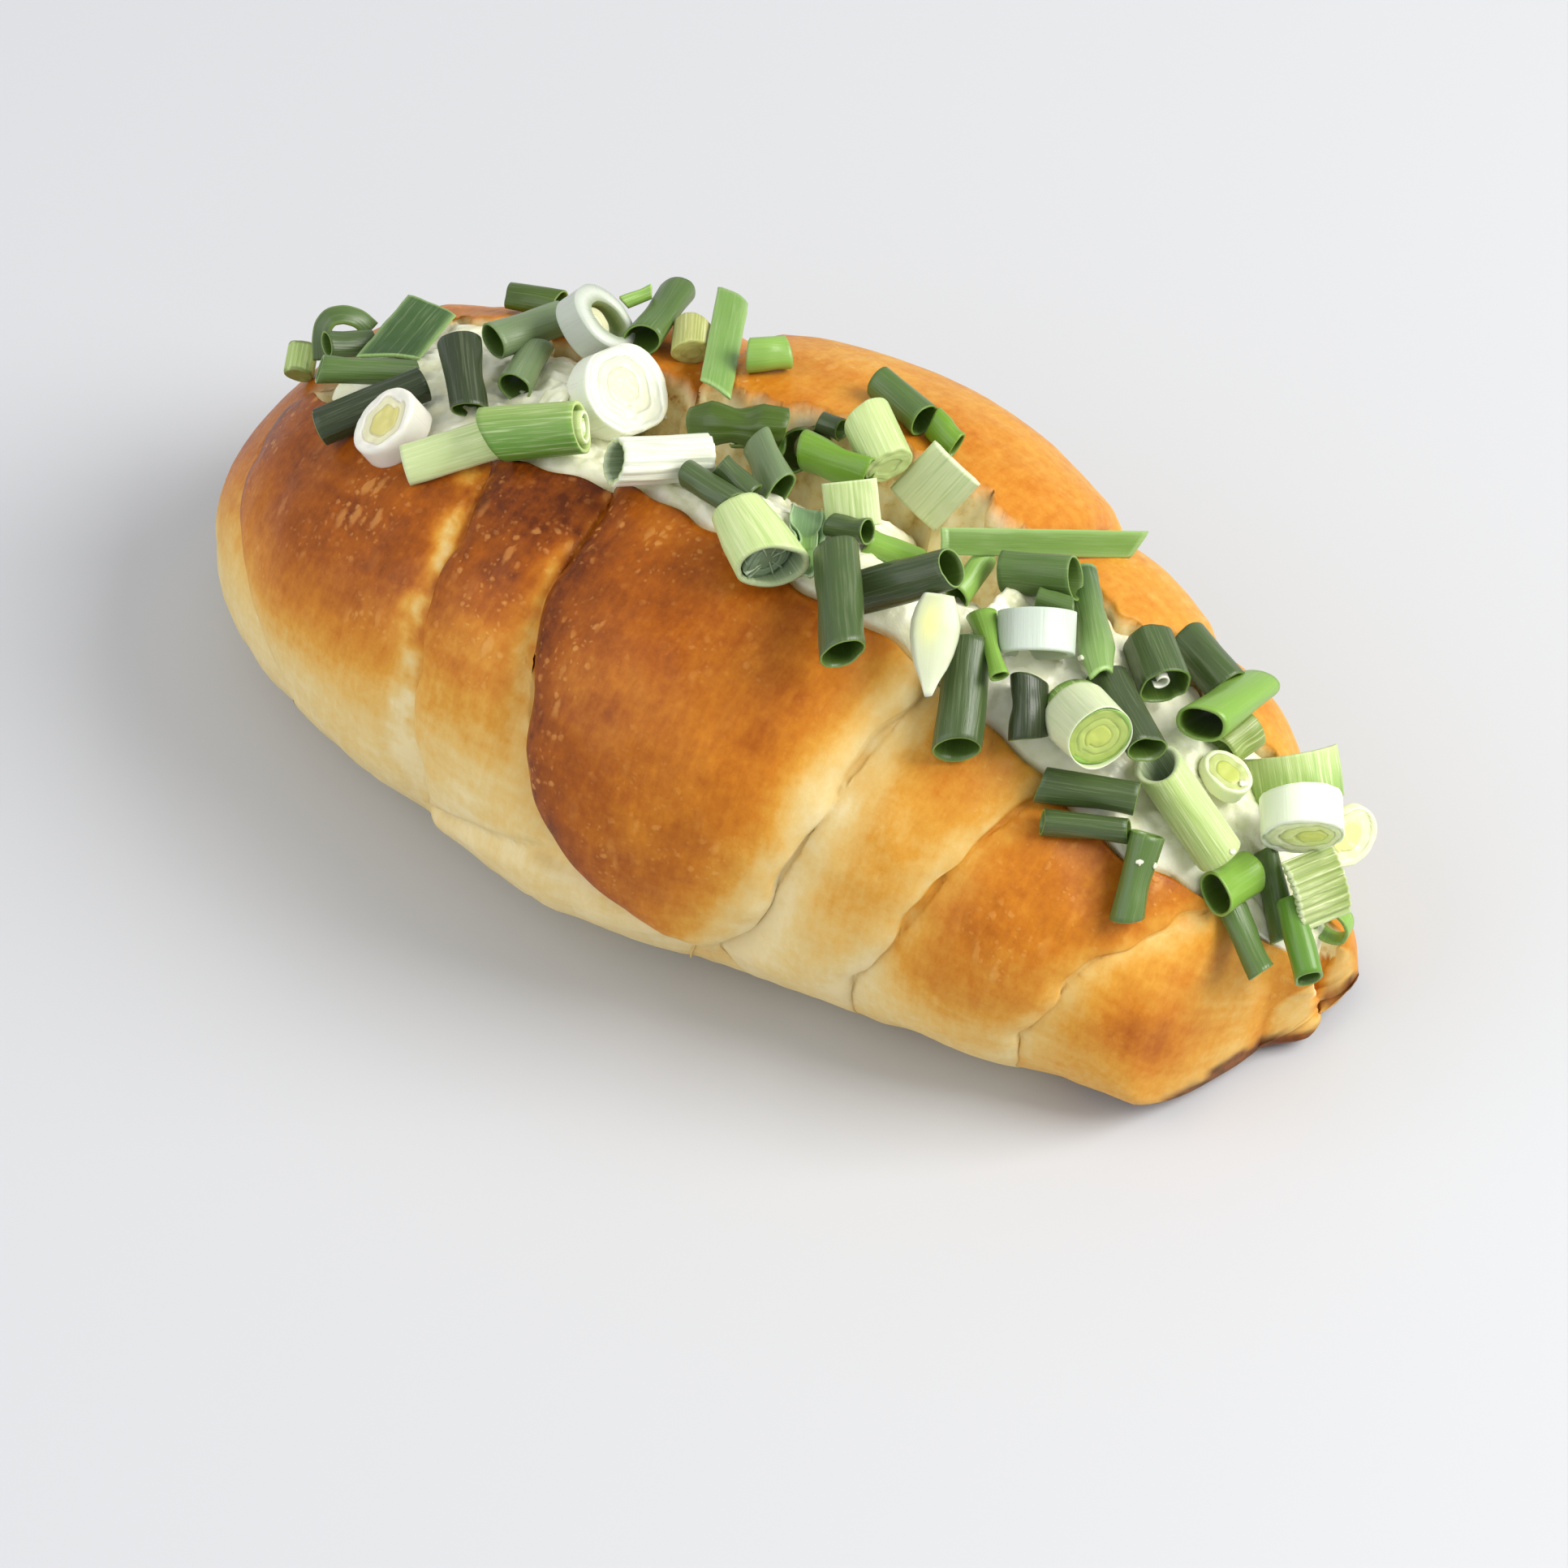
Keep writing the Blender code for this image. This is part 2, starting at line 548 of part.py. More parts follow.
def solid(name, rings, mat, collection, pole=None):
    """Skin closed rings into one closed body; `pole` closes the first ring."""
    bm = bmesh.new()
    vs = [[bm.verts.new(p * MM) for p in ring] for ring in rings]
    n = len(vs[0])
    for a, b in zip(vs[:-1], vs[1:]):
        for i in range(n):
            j = (i + 1) % n
            bm.faces.new((a[i], a[j], b[j], b[i]))
    if pole is not None:
        p = bm.verts.new(np.array(pole) * MM)
        for i in range(n):
            bm.faces.new((vs[0][(i + 1) % n], vs[0][i], p))
    else:
        bm.faces.new(list(reversed(vs[0])))
    bm.faces.new(vs[-1])
    bmesh.ops.triangulate(bm, faces=[f for f in bm.faces if len(f.verts) > 4], ngon_method='EAR_CLIP')
    bmesh.ops.triangulate(bm, faces=bm.faces[:])
    bmesh.ops.recalc_face_normals(bm, faces=bm.faces)
    if bm.calc_volume(signed=True) < 0:
        bmesh.ops.reverse_faces(bm, faces=bm.faces)
    me = bpy.data.meshes.new(name)
    bm.to_mesh(me)
    bm.free()
    ob = bpy.data.objects.new(name, me)
    me.materials.append(mat)
    collection.objects.link(ob)
    me.shade_smooth()
    return ob


# ------------------------------------------------------------ start clean
for ob in list(bpy.data.objects):
    bpy.data.objects.remove(ob, do_unlink=True)

parts = bpy.data.collections.new("salt_bread")
bpy.context.scene.collection.children.link(parts)

crust_mat = material("bread_crust", (0.52, 0.23, 0.06), 0.42)
cream_mat = material("cream_cheese", (0.86, 0.85, 0.68), 0.45)
scallion_mat = material("scallion", (0.12, 0.30, 0.08), 0.40)

# ------------------------------------------------------------ the bread
rings = loaf_grid()
bread = solid("bread", rings, crust_mat, parts, pole=(X_LEFT, -0.5, 9.6))

# ------------------------------------------------------------ the filling
fill, tops = filling_grid(rings)
cream = solid("cream_cheese", fill, cream_mat, parts)

# ------------------------------------------------------------ the heap
def tree_of(ob):
    me = ob.data
    return BVHTree.FromPolygons([np.array(v.co) / MM for v in me.vertices], [p.vertices[:] for p in me.polygons])


trees = (tree_of(bread), tree_of(cream))
laid = place(trees, -0.3, -0.3, SWELL)
bm = bmesh.new()
for kind, a, b, side, r in laid:
    prism(bm, kind, a, b, side, r)
# cheese clings between neighbouring pieces, so that the heap is one body
for a, b in links(laid):
    side = np.cross(b - a, BACK)
    if np.linalg.norm(b - a) > 0.1 and np.linalg.norm(side) > 1e-6:
        prism(bm, "T", a, b, side / np.linalg.norm(side), LINK)
# a thin bed over the filling carries the pieces
bed = []
for top in tops:
    low = top[1:-1] + np.array([0, 0, HEAP_CLEAR])
    high = low[::-1] + np.array([0, 0, 1.7])
    bed.append(np.vstack([low, high]))
vs = [[bm.verts.new(p * MM) for p in ring] for ring in bed[2:-2]]
for a, b in zip(vs[:-1], vs[1:]):
    for i in range(len(a)):
        j = (i + 1) % len(a)
        bm.faces.new((a[i], a[j], b[j], b[i]))
bm.faces.new(list(reversed(vs[0])))
bm.faces.new(vs[-1])
bmesh.ops.recalc_face_normals(bm, faces=bm.faces)
me = bpy.data.meshes.new("scallions")
bm.to_mesh(me)
bm.free()
heap = bpy.data.objects.new("scallions", me)
parts.objects.link(heap)
mod = heap.modifiers.new("one skin", "REMESH")
mod.mode = "VOXEL"
mod.voxel_size = FINENESS * MM
mod.adaptivity = 0.0
mod = heap.modifiers.new("fewer facets", "DECIMATE")
mod.ratio = HEAP_SHARE
bpy.context.view_layer.update()
skin = bpy.data.meshes.new_from_object(heap.evaluated_get(bpy.context.evaluated_depsgraph_get()))
heap.modifiers.clear()

# the one body of the heap, kept clear of bread and filling
bm = bmesh.new()
bm.from_mesh(skin)
bmesh.ops.triangulate(bm, faces=bm.faces[:])
left = set(bm.verts)
bodies = []
while left:
    seed = [left.pop()]
    body = set(seed)
    while seed:
        v = seed.pop()
        for e in v.link_edges:
            o = e.other_vert(v)
            if o not in body:
                body.add(o)
                left.discard(o)
                seed.append(o)
    bodies.append(body)
bodies.sort(key=len, reverse=True)
# only crumbs of a few facets may be left over, never a piece
if any(len(b) > CRUMB for b in bodies[1:]):
    raise ValueError("a piece of the heap has come loose: " + str([len(b) for b in bodies]))
bmesh.ops.delete(bm, geom=[v for b in bodies[1:] for v in b], context="VERTS")
for _ in range(4):
    for v in bm.verts:
        c = Vector(v.co) / MM
        for tree in trees:
            dist, away = clearance(tree, c)
            if dist < GAP:
                c = c + away * (GAP + 0.05 - dist)
        v.co = c * MM
for _ in range(10):
    for f in bm.faces:
        a, b, c = [Vector(v.co) / MM for v in f.verts]
        m = 1 + int(max((a - b).length, (b - c).length, (c - a).length) / 0.9)
        for i in range(m + 1):
            for k in range(m + 1 - i):
                q = (a * i + b * k + c * (m - i - k)) / m
                for tree in trees:
                    dist, away = clearance(tree, q)
                    if dist < 0.3:
                        for v in f.verts:
                            v.co += away * (0.33 - dist) * 0.7 * MM
me = bpy.data.meshes.new("scallions")
bm.to_mesh(me)
bm.free()
heap.data = me
me.materials.append(scallion_mat)
me.shade_smooth()
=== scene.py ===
"""Looks of the salt bread: crust, crumb, cream cheese and cut scallions, built
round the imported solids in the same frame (metres, +Z up, the roll along X)."""
import math
import bpy
import bmesh
import numpy as np
from mathutils import Vector, Matrix
from mathutils.bvhtree import BVHTree


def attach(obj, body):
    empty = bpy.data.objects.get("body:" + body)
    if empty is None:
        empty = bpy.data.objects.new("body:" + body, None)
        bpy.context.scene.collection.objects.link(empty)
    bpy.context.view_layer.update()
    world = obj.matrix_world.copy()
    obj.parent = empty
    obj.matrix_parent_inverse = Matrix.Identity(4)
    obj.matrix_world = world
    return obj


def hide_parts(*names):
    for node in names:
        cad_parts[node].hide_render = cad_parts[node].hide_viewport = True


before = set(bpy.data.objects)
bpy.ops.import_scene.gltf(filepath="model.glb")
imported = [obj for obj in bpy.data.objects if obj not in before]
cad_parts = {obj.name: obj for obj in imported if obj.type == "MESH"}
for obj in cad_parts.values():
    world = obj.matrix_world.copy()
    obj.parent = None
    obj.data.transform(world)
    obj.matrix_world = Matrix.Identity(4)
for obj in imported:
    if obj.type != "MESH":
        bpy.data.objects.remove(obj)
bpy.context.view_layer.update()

MM = 0.001

# ------------------------------------------------------------ driving sizes
X_LEFT = -79.3          # blunt left end
X_RIGHT = 77.6          # open right end
SQUARE = 2.3            # how square the cross-section is (2 would be round)
WAIST = 0.42            # height of the widest level, as a part of the height
GAP = 0.45              # room between filling, heap and bread

# along the roll, in mm:  x, half width, centre line, height, lift of the base
BODY = (
    (-79.3,  2.0, -0.5, 11.0, 8.5),
    (-78.8,  7.2, -0.3, 14.3, 5.2),
    (-77.0, 12.9, 0.0, 20.0, 2.6),
    (-74.0, 17.0, 0.5, 26.0, 1.2),
    (-68.0, 23.5, 0.5, 33.0, 0.0),
    (-58.0, 28.5, -1.5, 38.5, 0.0),
    (-40.0, 34.0, -2.0, 46.0, 0.0),
    (-20.0, 38.5, -1.0, 52.5, 0.0),
    (0.0,   41.0, -1.0, 54.5, 0.0),
    (20.0,  37.5,  0.5, 52.5, 0.0),
    (40.0,  32.0,  0.5, 45.5, 0.0),
    (56.0,  27.0,  1.0, 36.5, 0.0),
    (68.0,  19.5,  1.5, 26.0, 0.0),
    (74.0,  13.0,  4.0, 18.5, 0.3),
    (77.6,  9.0,  6.0, 14.0, 1.2),
)

# the creases between the turns of the rolled dough: x at each angle round the
# section (degrees, 0 on top, 90 on the front side, 180 underneath, -90 behind)
CREASES = (
    ((-180, -66), (-120, -64), (-60, -66), (-20, -65), (8, -66), (20, -70), (36, -70), (51, -68), (66, -63), (84, -55), (110, -51), (140, -56)),
    ((-180, -30), (-120, -34), (-60, -37), (-20, -36), (22, -33), (45, -30), (68, -28), (88, -25.5), (102, -25), (130, -26)),
    ((-180, -8), (-120, -16), (-60, -22), (-20, -19), (14, -17), (41, -15.5), (55, -12.5), (69, -9.5), (82, -4.5), (90, 0.5), (100, 10), (107, 13), (120, 12), (150, 4)),
    ((-180, 22), (-120, 24), (-60, 28), (-20, 29), (24, 29), (51, 26.5), (72, 24.3), (90, 21.4), (100, 18.9), (107, 17.2), (120, 19), (150, 21)),
    ((-180, 40), (-120, 42), (-60, 45.5), (-20, 46.5), (26, 46), (48, 42), (66, 40), (78, 37.7), (96, 34.4), (120, 33), (150, 36)),
    ((-180, 58), (-120, 60), (-60, 64), (-20, 66), (18, 66), (30, 64.4), (52, 59.6), (74, 56.4), (91, 54.3), (120, 53), (150, 55)),
)
STEP = (0.9, 1.4, 2.6, 2.3, 1.9, 1.6)          # height of each step, mm
BULGE = (0.0, 0.9, 0.6, 1.6, 0.8, 0.8, 0.4)    # belly of each turn, mm
# which side of each crease lies on top: the middle turn covers its neighbours
OVER_RIGHT = (True, True, True, False, False, False)
ROUND = 2.4             # radius of a turn's rolled edge
TUCK = 6.0              # how far a covered turn takes to come up again
TIP_X = 15.0            # where the middle turn's tip ends, low on the front side

# the cut: x, front lip, back lip, depth as a part of the height
CUT = (
    (-79.3, -3.0, 2.5, 0.95),
    (-70.0, -4.0, 4.0, 0.95),
    (-66.0, -5.5, 7.5, 0.80),
    (-58.0, -9.5, 12.0, 0.55),
    (-50.0, -11.5, 13.0, 0.42),
    (-38.0, -12.0, 12.0, 0.37),
    (-22.0, -10.5, 11.0, 0.35),
    (-8.0, -10.5, 11.0, 0.35),
    (6.0, -12.0, 13.5, 0.35),
    (20.0, -11.0, 14.5, 0.35),
    (36.0, -10.5, 14.0, 0.35),
    (50.0, -11.0, 16.0, 0.34),
    (60.0, -8.5, 16.5, 0.32),
    (70.0, -2.0, 14.0, 0.26),
    (77.6, 4.0, 10.0, 0.20),
)
CUT_CLOSED, CUT_OPEN = -70.0, -64.0            # the cut ends short of the left end

# the filling: x, how far it reaches up the front wall and the back wall of the
# cut (1 is the lip), and how high it crowns between them
FILL_LEFT, FILL_RIGHT = -63.5, 73.5
FILL = (
    (-64.0, 0.85, 0.85, 0.5),
    (-50.0, 0.85, 0.80, 1.5),
    (-36.0, 0.80, 0.80, 3.0),
    (-26.0, 0.70, 0.80, 4.2),
    (-14.0, 0.66, 0.80, 5.4),
    (-3.0, 0.70, 0.85, 6.0),
    (6.0, 0.80, 0.88, 6.4),
    (16.0, 0.90, 0.86, 6.4),
    (26.0, 0.90, 0.88, 6.2),
    (38.0, 0.88, 0.88, 5.4),
    (52.0, 0.88, 0.85, 4.0),
    (64.0, 0.85, 0.85, 2.5),
    (76.0, 0.80, 0.80, 0.5),
)


UNIT = 0.1013
DISTANCE = 955.0
TURN, RISE, ROLL = math.radians(34.5), math.radians(49.1), math.radians(1.0)
BACK = np.array([math.sin(TURN) * math.cos(RISE), -math.cos(TURN) * math.cos(RISE), math.sin(RISE)])
_side = np.array([math.cos(TURN), math.sin(TURN), 0.0])
_rise = np.cross(BACK, _side)
RIGHT = _side * math.cos(ROLL) + _rise * math.sin(ROLL)
UP = -_side * math.sin(ROLL) + _rise * math.cos(ROLL)
EYE = BACK * DISTANCE + (RIGHT * 10.3 - UP * 1.7) * UNIT


# Each piece: its number, kind, the two ends of its axis in the picture (the
# end that shows first), its width, and how much of its first end shows.
SCALLIONS = (
    (2, "C", 425, 424, 441, 400, 64, 0.85),
    (3, "T", 407, 428, 460, 425, 32, 0.50),
    (1, "P", 372, 466, 377, 430, 38, 0.50),
    (5, "T", 399, 458, 515, 462, 34, 0.22),
    (4, "L", 483, 446, 533, 377, 68, None),
    (6, "T", 399, 529, 524, 477, 43, None),
    (8, "T", 582, 508, 567, 425, 50, 0.55),
    (9, "Q", 503, 575, 612, 543, 50, None),
    (7, "S", 475, 520, 497, 544, 84, 0.70),
    (13, "T", 628, 366, 693, 380, 33, None),
    (11, "T", 612, 425, 695, 392, 45, 0.60),
    (17, "P", 803, 362, 770, 376, 18, None),
    (14, "W", 747, 394, 724, 407, 94, 0.66),
    (10, "P", 716, 530, 612, 537, 64, 0.30),
    (12, "T", 637, 481, 662, 430, 41, 0.70),
    (15, "S", 776, 482, 752, 489, 122, 0.85),
    (21, "P", 761, 571, 869, 568, 58, 0.25),
    (16, "T", 793, 424, 833, 362, 43, 0.75),
    (18, "P", 853, 438, 855, 408, 48, 0.75),
    (19, "L", 883, 485, 903, 364, 40, None),
    (20, "G", 924, 441, 970, 437, 42, None),
    (25, "T", 962, 532, 856, 526, 56, 0.30),
    (23, "T", 925, 612, 888, 575, 36, None),
    (22, "T", 903, 621, 850, 587, 38, 0.50),
    (26, "G", 979, 559, 1000, 552, 54, 0.78),
    (24, "T", 960, 608, 933, 547, 44, 0.65),
    (28, "T", 1010, 521, 1036, 532, 30, None),
    (33, "Q", 1052, 650, 1046, 596, 64, None),
    (29, "P", 1094, 576, 1068, 518, 62, 0.45),
    (27, "G", 1068, 588, 993, 558, 48, 0.30),
    (31, "G", 1176, 552, 1148, 522, 36, 0.35),
    (30, "T", 1136, 521, 1084, 473, 42, 0.60),
    (32, "Q", 1126, 627, 1177, 574, 74, None),
    (37, "G", 1066, 668, 1130, 692, 30, None),
    (36, "T", 1067, 657, 1025, 648, 30, 0.60),
    (35, "L", 992, 704, 1002, 624, 54, None),
    (34, "P", 951, 698, 911, 633, 82, 0.50),
    (38, "T", 1038, 803, 1030, 682, 55, 0.60),
    (40, "G", 1178, 735, 1212, 692, 34, 0.50),
    (39, "T", 1167, 703, 1063, 731, 52, 0.48),
    (42, "T", 1320, 714, 1236, 706, 52, 0.18),
    (41, "L", 1137, 672, 1425, 669, 32, None),
    (43, "G", 1318, 750, 1278, 737, 26, None),
    (48, "W", 1275, 806, 1276, 757, 92, 0.14),
    (44, "L", 1352, 832, 1334, 706, 40, None),
    (49, "T", 1177, 920, 1192, 800, 57, 0.36),
    (46, "L", 1141, 855, 1155, 739, 56, None),
    (47, "G", 1228, 832, 1209, 760, 28, 0.70),
    (50, "T", 1265, 908, 1266, 842, 47, None),
    (54, "T", 1508, 845, 1462, 792, 52, None),
    (53, "T", 1432, 845, 1413, 792, 62, 0.62),
    (52, "T", 1408, 922, 1363, 836, 46, 0.55),
    (51, "P", 1350, 908, 1320, 874, 78, 0.88),
    (56, "P", 1502, 925, 1540, 898, 46, None),
    (55, "G", 1475, 891, 1543, 846, 48, 0.85),
    (57, "S", 1510, 950, 1500, 962, 60, 0.78),
    (62, "P", 1598, 990, 1588, 930, 110, None),
    (58, "T", 1394, 985, 1284, 967, 43, None),
    (59, "T", 1385, 1024, 1286, 1014, 33, None),
    (60, "T", 1388, 1127, 1411, 1031, 40, None),
    (61, "P", 1424, 945, 1497, 1050, 58, None),
    (64, "S", 1658, 1032, 1645, 1024, 76, 0.80),
    (68, "T", 1579, 1152, 1557, 1048, 33, None),
    (69, "G", 1607, 1202, 1585, 1110, 36, 0.28),
    (70, "C", 1634, 1141, 1640, 1133, 48, 0.75),
    (63, "W", 1601, 1030, 1600, 984, 100, 0.38),
    (65, "Q", 1588, 1104, 1647, 1082, 84, None),
    (67, "T", 1549, 1194, 1516, 1118, 35, 0.30),
    (66, "G", 1495, 1100, 1537, 1075, 52, 0.70),
)


def smooth(table, x, col):
    """Cubic curve through column `col` of a table whose first column is x."""
    xs = np.array([r[0] for r in table], float)
    ys = np.array([r[col] for r in table], float)
    m = np.gradient(ys, xs)
    x = np.clip(np.asarray(x, float), xs[0], xs[-1])
    i = np.clip(np.searchsorted(xs, x) - 1, 0, len(xs) - 2)
    h = xs[i + 1] - xs[i]
    t = (x - xs[i]) / h
    return ((2 * t**3 - 3 * t**2 + 1) * ys[i] + (t**3 - 2 * t**2 + t) * h * m[i]
            + (-2 * t**3 + 3 * t**2) * ys[i + 1] + (t**3 - t**2) * h * m[i + 1])


def crease_x(k, t):
    """x of crease k at angle t, a closed curve round the section."""
    pts = CREASES[k]
    table = pts + ((pts[0][0] + 360, pts[0][1]),)
    t = (np.asarray(t, float) + 180.0) % 360.0 - 180.0
    return smooth(table, t, 1)


def fade(a, b, x):
    s = np.clip((np.asarray(x, float) - a) / (b - a), 0, 1)
    return s * s * (3 - 2 * s)


def turn_edges(k, t):
    left = np.full_like(t, X_LEFT) if k == 0 else crease_x(k - 1, t)
    right = np.full_like(t, X_RIGHT) if k == 6 else crease_x(k, t)
    return left, right


def outer(x, t, d):
    """Point of the crust at angle t, raised by d."""
    b, yc = smooth(BODY, x, 1), smooth(BODY, x, 2)
    h, zb = smooth(BODY, x, 3), np.maximum(smooth(BODY, x, 4), 0.0)
    # towards the open end the roll is widest near its foot
    zc = np.maximum(WAIST * h * (1 - 0.72 * fade(60, 73, x)), zb + 1.0)
    tr = np.radians(t)
    c, s = -np.sin(tr), np.cos(tr)
    r = (np.abs(c) ** SQUARE + np.abs(s) ** SQUARE) ** (-1 / SQUARE)
    y = b * r * c
    z = np.where(s > 0, (h - zc) * r * s, 1.14 * (zc - zb) * r * s)
    n = np.maximum(np.hypot(y, z), 1e-6)
    g = (n + d) / n
    z = zc + z * g
    return yc + y * g, np.maximum(z, zb)


def blunt(x, y):
    """The open end was cut off unevenly: its front half ends first, and it is
    notched where the cut runs out."""
    keep = 0.56 + 0.35 * fade(-2.0, 3.5, y) - 0.20 * np.exp(-((y - 8.6) / 2.0) ** 2)
    return np.where(x > 66.0, 66.0 + (x - 66.0) * keep, x)


def inset(y, z, e):
    """A closed outline moved inwards by e (it runs front, under, back, cut)."""
    ty = np.roll(y, -1) - np.roll(y, 1)
    tz = np.roll(z, -1) - np.roll(z, 1)
    n = np.maximum(np.hypot(ty, tz), 1e-9)
    return y - tz / n * e, z + ty / n * e


def wall(xw, a, lip_f, lip_n):
    """Wall of the cut: a runs from -1 at the back lip to 1 at the front lip."""
    ys = 0.5 * (lip_f[0] + lip_n[0])
    zb = smooth(CUT, xw, 3) * smooth(BODY, xw, 3)
    yl = np.where(a < 0, lip_f[0], lip_n[0])
    zl = np.where(a < 0, lip_f[1], lip_n[1])
    return ys + (yl - ys) * np.abs(a) ** 0.75, zb + (zl - zb) * np.abs(a) ** 1.6


def towards(u, v):
    """Direction from the eye through a point of the picture."""
    x, y = (u - 966.0) * UNIT, -(v - 966.0) * UNIT
    d = RIGHT * x + UP * y - BACK * DISTANCE
    return d / np.linalg.norm(d)


def under(u, v, trees):
    """First point of bread or filling behind a point of the picture."""
    best = None
    for tree in trees:
        hit, n, _, dist = tree.ray_cast(Vector(EYE), Vector(towards(u, v)))
        if hit is not None and (best is None or dist < best[2]):
            best = (np.array(hit), np.array(n), dist)
    return best


def clearance(tree, c):
    """Distance from a point to a closed surface, negative inside it."""
    c = Vector(c)
    loc, n, _, dist = tree.find_nearest(c, 30.0)
    if loc is None:
        return 30.0, Vector((0, 0, 1))
    hit, m, _, _ = tree.ray_cast(c, Vector(BACK))
    inside = hit is not None and m.dot(Vector(BACK)) > 0
    away = (loc - c) if inside else (c - loc)
    return (-dist if inside else dist), (away.normalized() if dist > 0.02 else n)


def spots(kind, a, d, side, length, r):
    """Balls that fill a piece: centres and one radius."""
    out = []
    if kind in "LQ":
        rs = 0.9
        for i in np.linspace(0, 1, max(2, int(length / 1.6))):
            for j in np.linspace(-1, 1, max(3, int(r / 0.8))):
                out.append(a + d * length * i + side * (r - rs) * j)
        return np.array(out), rs
    rs = min(r, length * 0.5)
    third = np.cross(d, side)
    for i in np.linspace(0, 1, max(2, int(length / rs) + 1)):
        c = a + d * (rs + (length - 2 * rs) * i)
        out.append(c)
        if r - rs > 0.3:
            for q in range(8):
                w = math.pi * q / 4
                out.append(c + (side * math.cos(w) + third * math.sin(w)) * (r - rs))
    return np.array(out), rs


def place(trees, sink_bread, sink_cream, swell):
    """Lay the pieces one after the other: each starts inside what is under it
    and moves up the line of sight until it rests on bread, filling or pieces."""
    laid, done = [], []
    for name, kind, u0, v0, u1, v1, wide, show in SCALLIONS:
        um, vm = (u0 + u1) / 2, (v0 + v1) / 2
        hits = [h for h in (under(um + du, vm + dv, trees) for du, dv in ((0, 0), (14, 0), (-14, 0), (0, 14), (0, -14))) if h]
        if not hits:
            hits = [h for h in (under(um + (955 - um) * q, vm + (964 - vm) * q, trees) for q in (0.05, 0.1, 0.15)) if h]
        n = sum(h[1] for h in hits)
        n = n / np.linalg.norm(n)
        base = hits[0][0]
        g = RIGHT * (u0 - u1) - UP * (v0 - v1)      # from the far end to the first
        seen = np.linalg.norm(g) * UNIT
        g = g / np.linalg.norm(g)
        if show is None:
            k = -float(g @ n) / max(float(BACK @ n), 0.35)
            d = g + BACK * float(np.clip(k, -1.3, 1.3))
            d = d / np.linalg.norm(d)
        else:
            d = g * math.sqrt(1 - show * show) + BACK * show
        length = float(np.clip(seen / max(math.sqrt(1 - float(d @ BACK) ** 2), 0.2), 2.5, 32.0))
        r = wide * UNIT / 2
        sight = -towards(um, vm)
        # strips turn their flat side to what they lie on
        side = np.cross(d, n + BACK * 1.3 if kind in "LQ" else BACK)
        side = side / np.linalg.norm(side)
        # the middle of the piece stays on the line of sight through its middle
        line = EYE + towards(um, vm) * float((base - EYE) @ towards(um, vm))
        balls, rs = spots(kind, line - d * length / 2, d, side, length, r)
        third = np.cross(d, side)
        flat = 0.0 if kind in "LQ" else 0.75
        rim = np.array([line + d * (length * 0.5 * e) + (side * math.cos(w) + third * math.sin(w) * flat) * r * 0.75
                        for e in (-0.9, 0.0, 0.95) for w in (math.pi * q / 4 for q in range(8))])
        for step in range(-14, 140):
            p = balls + sight * (step * 0.25)
            ok = True
            for tree, sink in zip(trees, (sink_bread, sink_cream)):
                if any(clearance(tree, c)[0] < rs - (min(sink, 0.25) if kind in "LQ" else sink) for c in p):
                    ok = False
                    break
            # no piece may slip in behind a lip of the cut, with its middle or its ends
            if ok and any(tree.ray_cast(Vector(c), Vector(BACK))[0] is not None for tree in trees for c in np.vstack([p, rim + sight * (step * 0.25)])):
                ok = False
            if ok and done:
                for q, qr in done:
                    m = q - p[:, None]
                    if np.sqrt((m ** 2).sum(-1).min()) < rs + qr - 0.5:
                        ok = False
                        break
            if ok:
                break
        done.append((p, rs))
        a = line + sight * (step * 0.25) - d * length / 2
        laid.append((name, kind, a, a + d * length, side, r))
    return laid





# ============================================================ noise
def hashed(ix, iy, iz, seed):
    a = (ix * 73856093) ^ (iy * 19349663) ^ (iz * 83492791) ^ (seed * 2654435761)
    a = a & 0xFFFFFFFF
    a = ((a ^ (a >> 15)) * 2246822519) & 0xFFFFFFFF
    a = ((a ^ (a >> 13)) * 3266489917) & 0xFFFFFFFF
    return ((a ^ (a >> 16)) & 0xFFFFFF) / float(0xFFFFFF) * 2 - 1


def noise(p, size, seed):
    """Smooth noise from -1 to 1 with features of `size` mm, at points in mm."""
    q = np.asarray(p, float) / size
    i = np.floor(q).astype(np.int64)
    f = q - i
    u = f * f * f * (f * (f * 6 - 15) + 10)
    out = 0.0
    for dx in (0, 1):
        for dy in (0, 1):
            for dz in (0, 1):
                w = (u[..., 0] if dx else 1 - u[..., 0]) * (u[..., 1] if dy else 1 - u[..., 1]) * (u[..., 2] if dz else 1 - u[..., 2])
                out = out + w * hashed(i[..., 0] + dx, i[..., 1] + dy, i[..., 2] + dz, seed)
    return out


def fbm(p, size, seed, octaves=3):
    out, amp, total = 0.0, 1.0, 0.0
    for o in range(octaves):
        out = out + amp * noise(p, size / 2 ** o, seed + 17 * o)
        total += amp
        amp *= 0.5
    return out / total


def bump_at(x, t, x0, t0, wx, wt):
    return np.exp(-((x - x0) / wx) ** 2 - ((t - t0) / wt) ** 2)


# ============================================================ the bread
N_OUT, N_IN = 232, 44
OVERHANG = 118.0        # how far round a rolled edge curls under, degrees
FINE_STEP = (0.9, 1.3, 2.6, 2.1, 1.55, 1.2)   # the steps as baked, softer towards the open end
LEAD = 0.28             # how far a covered turn runs in under its neighbour, mm


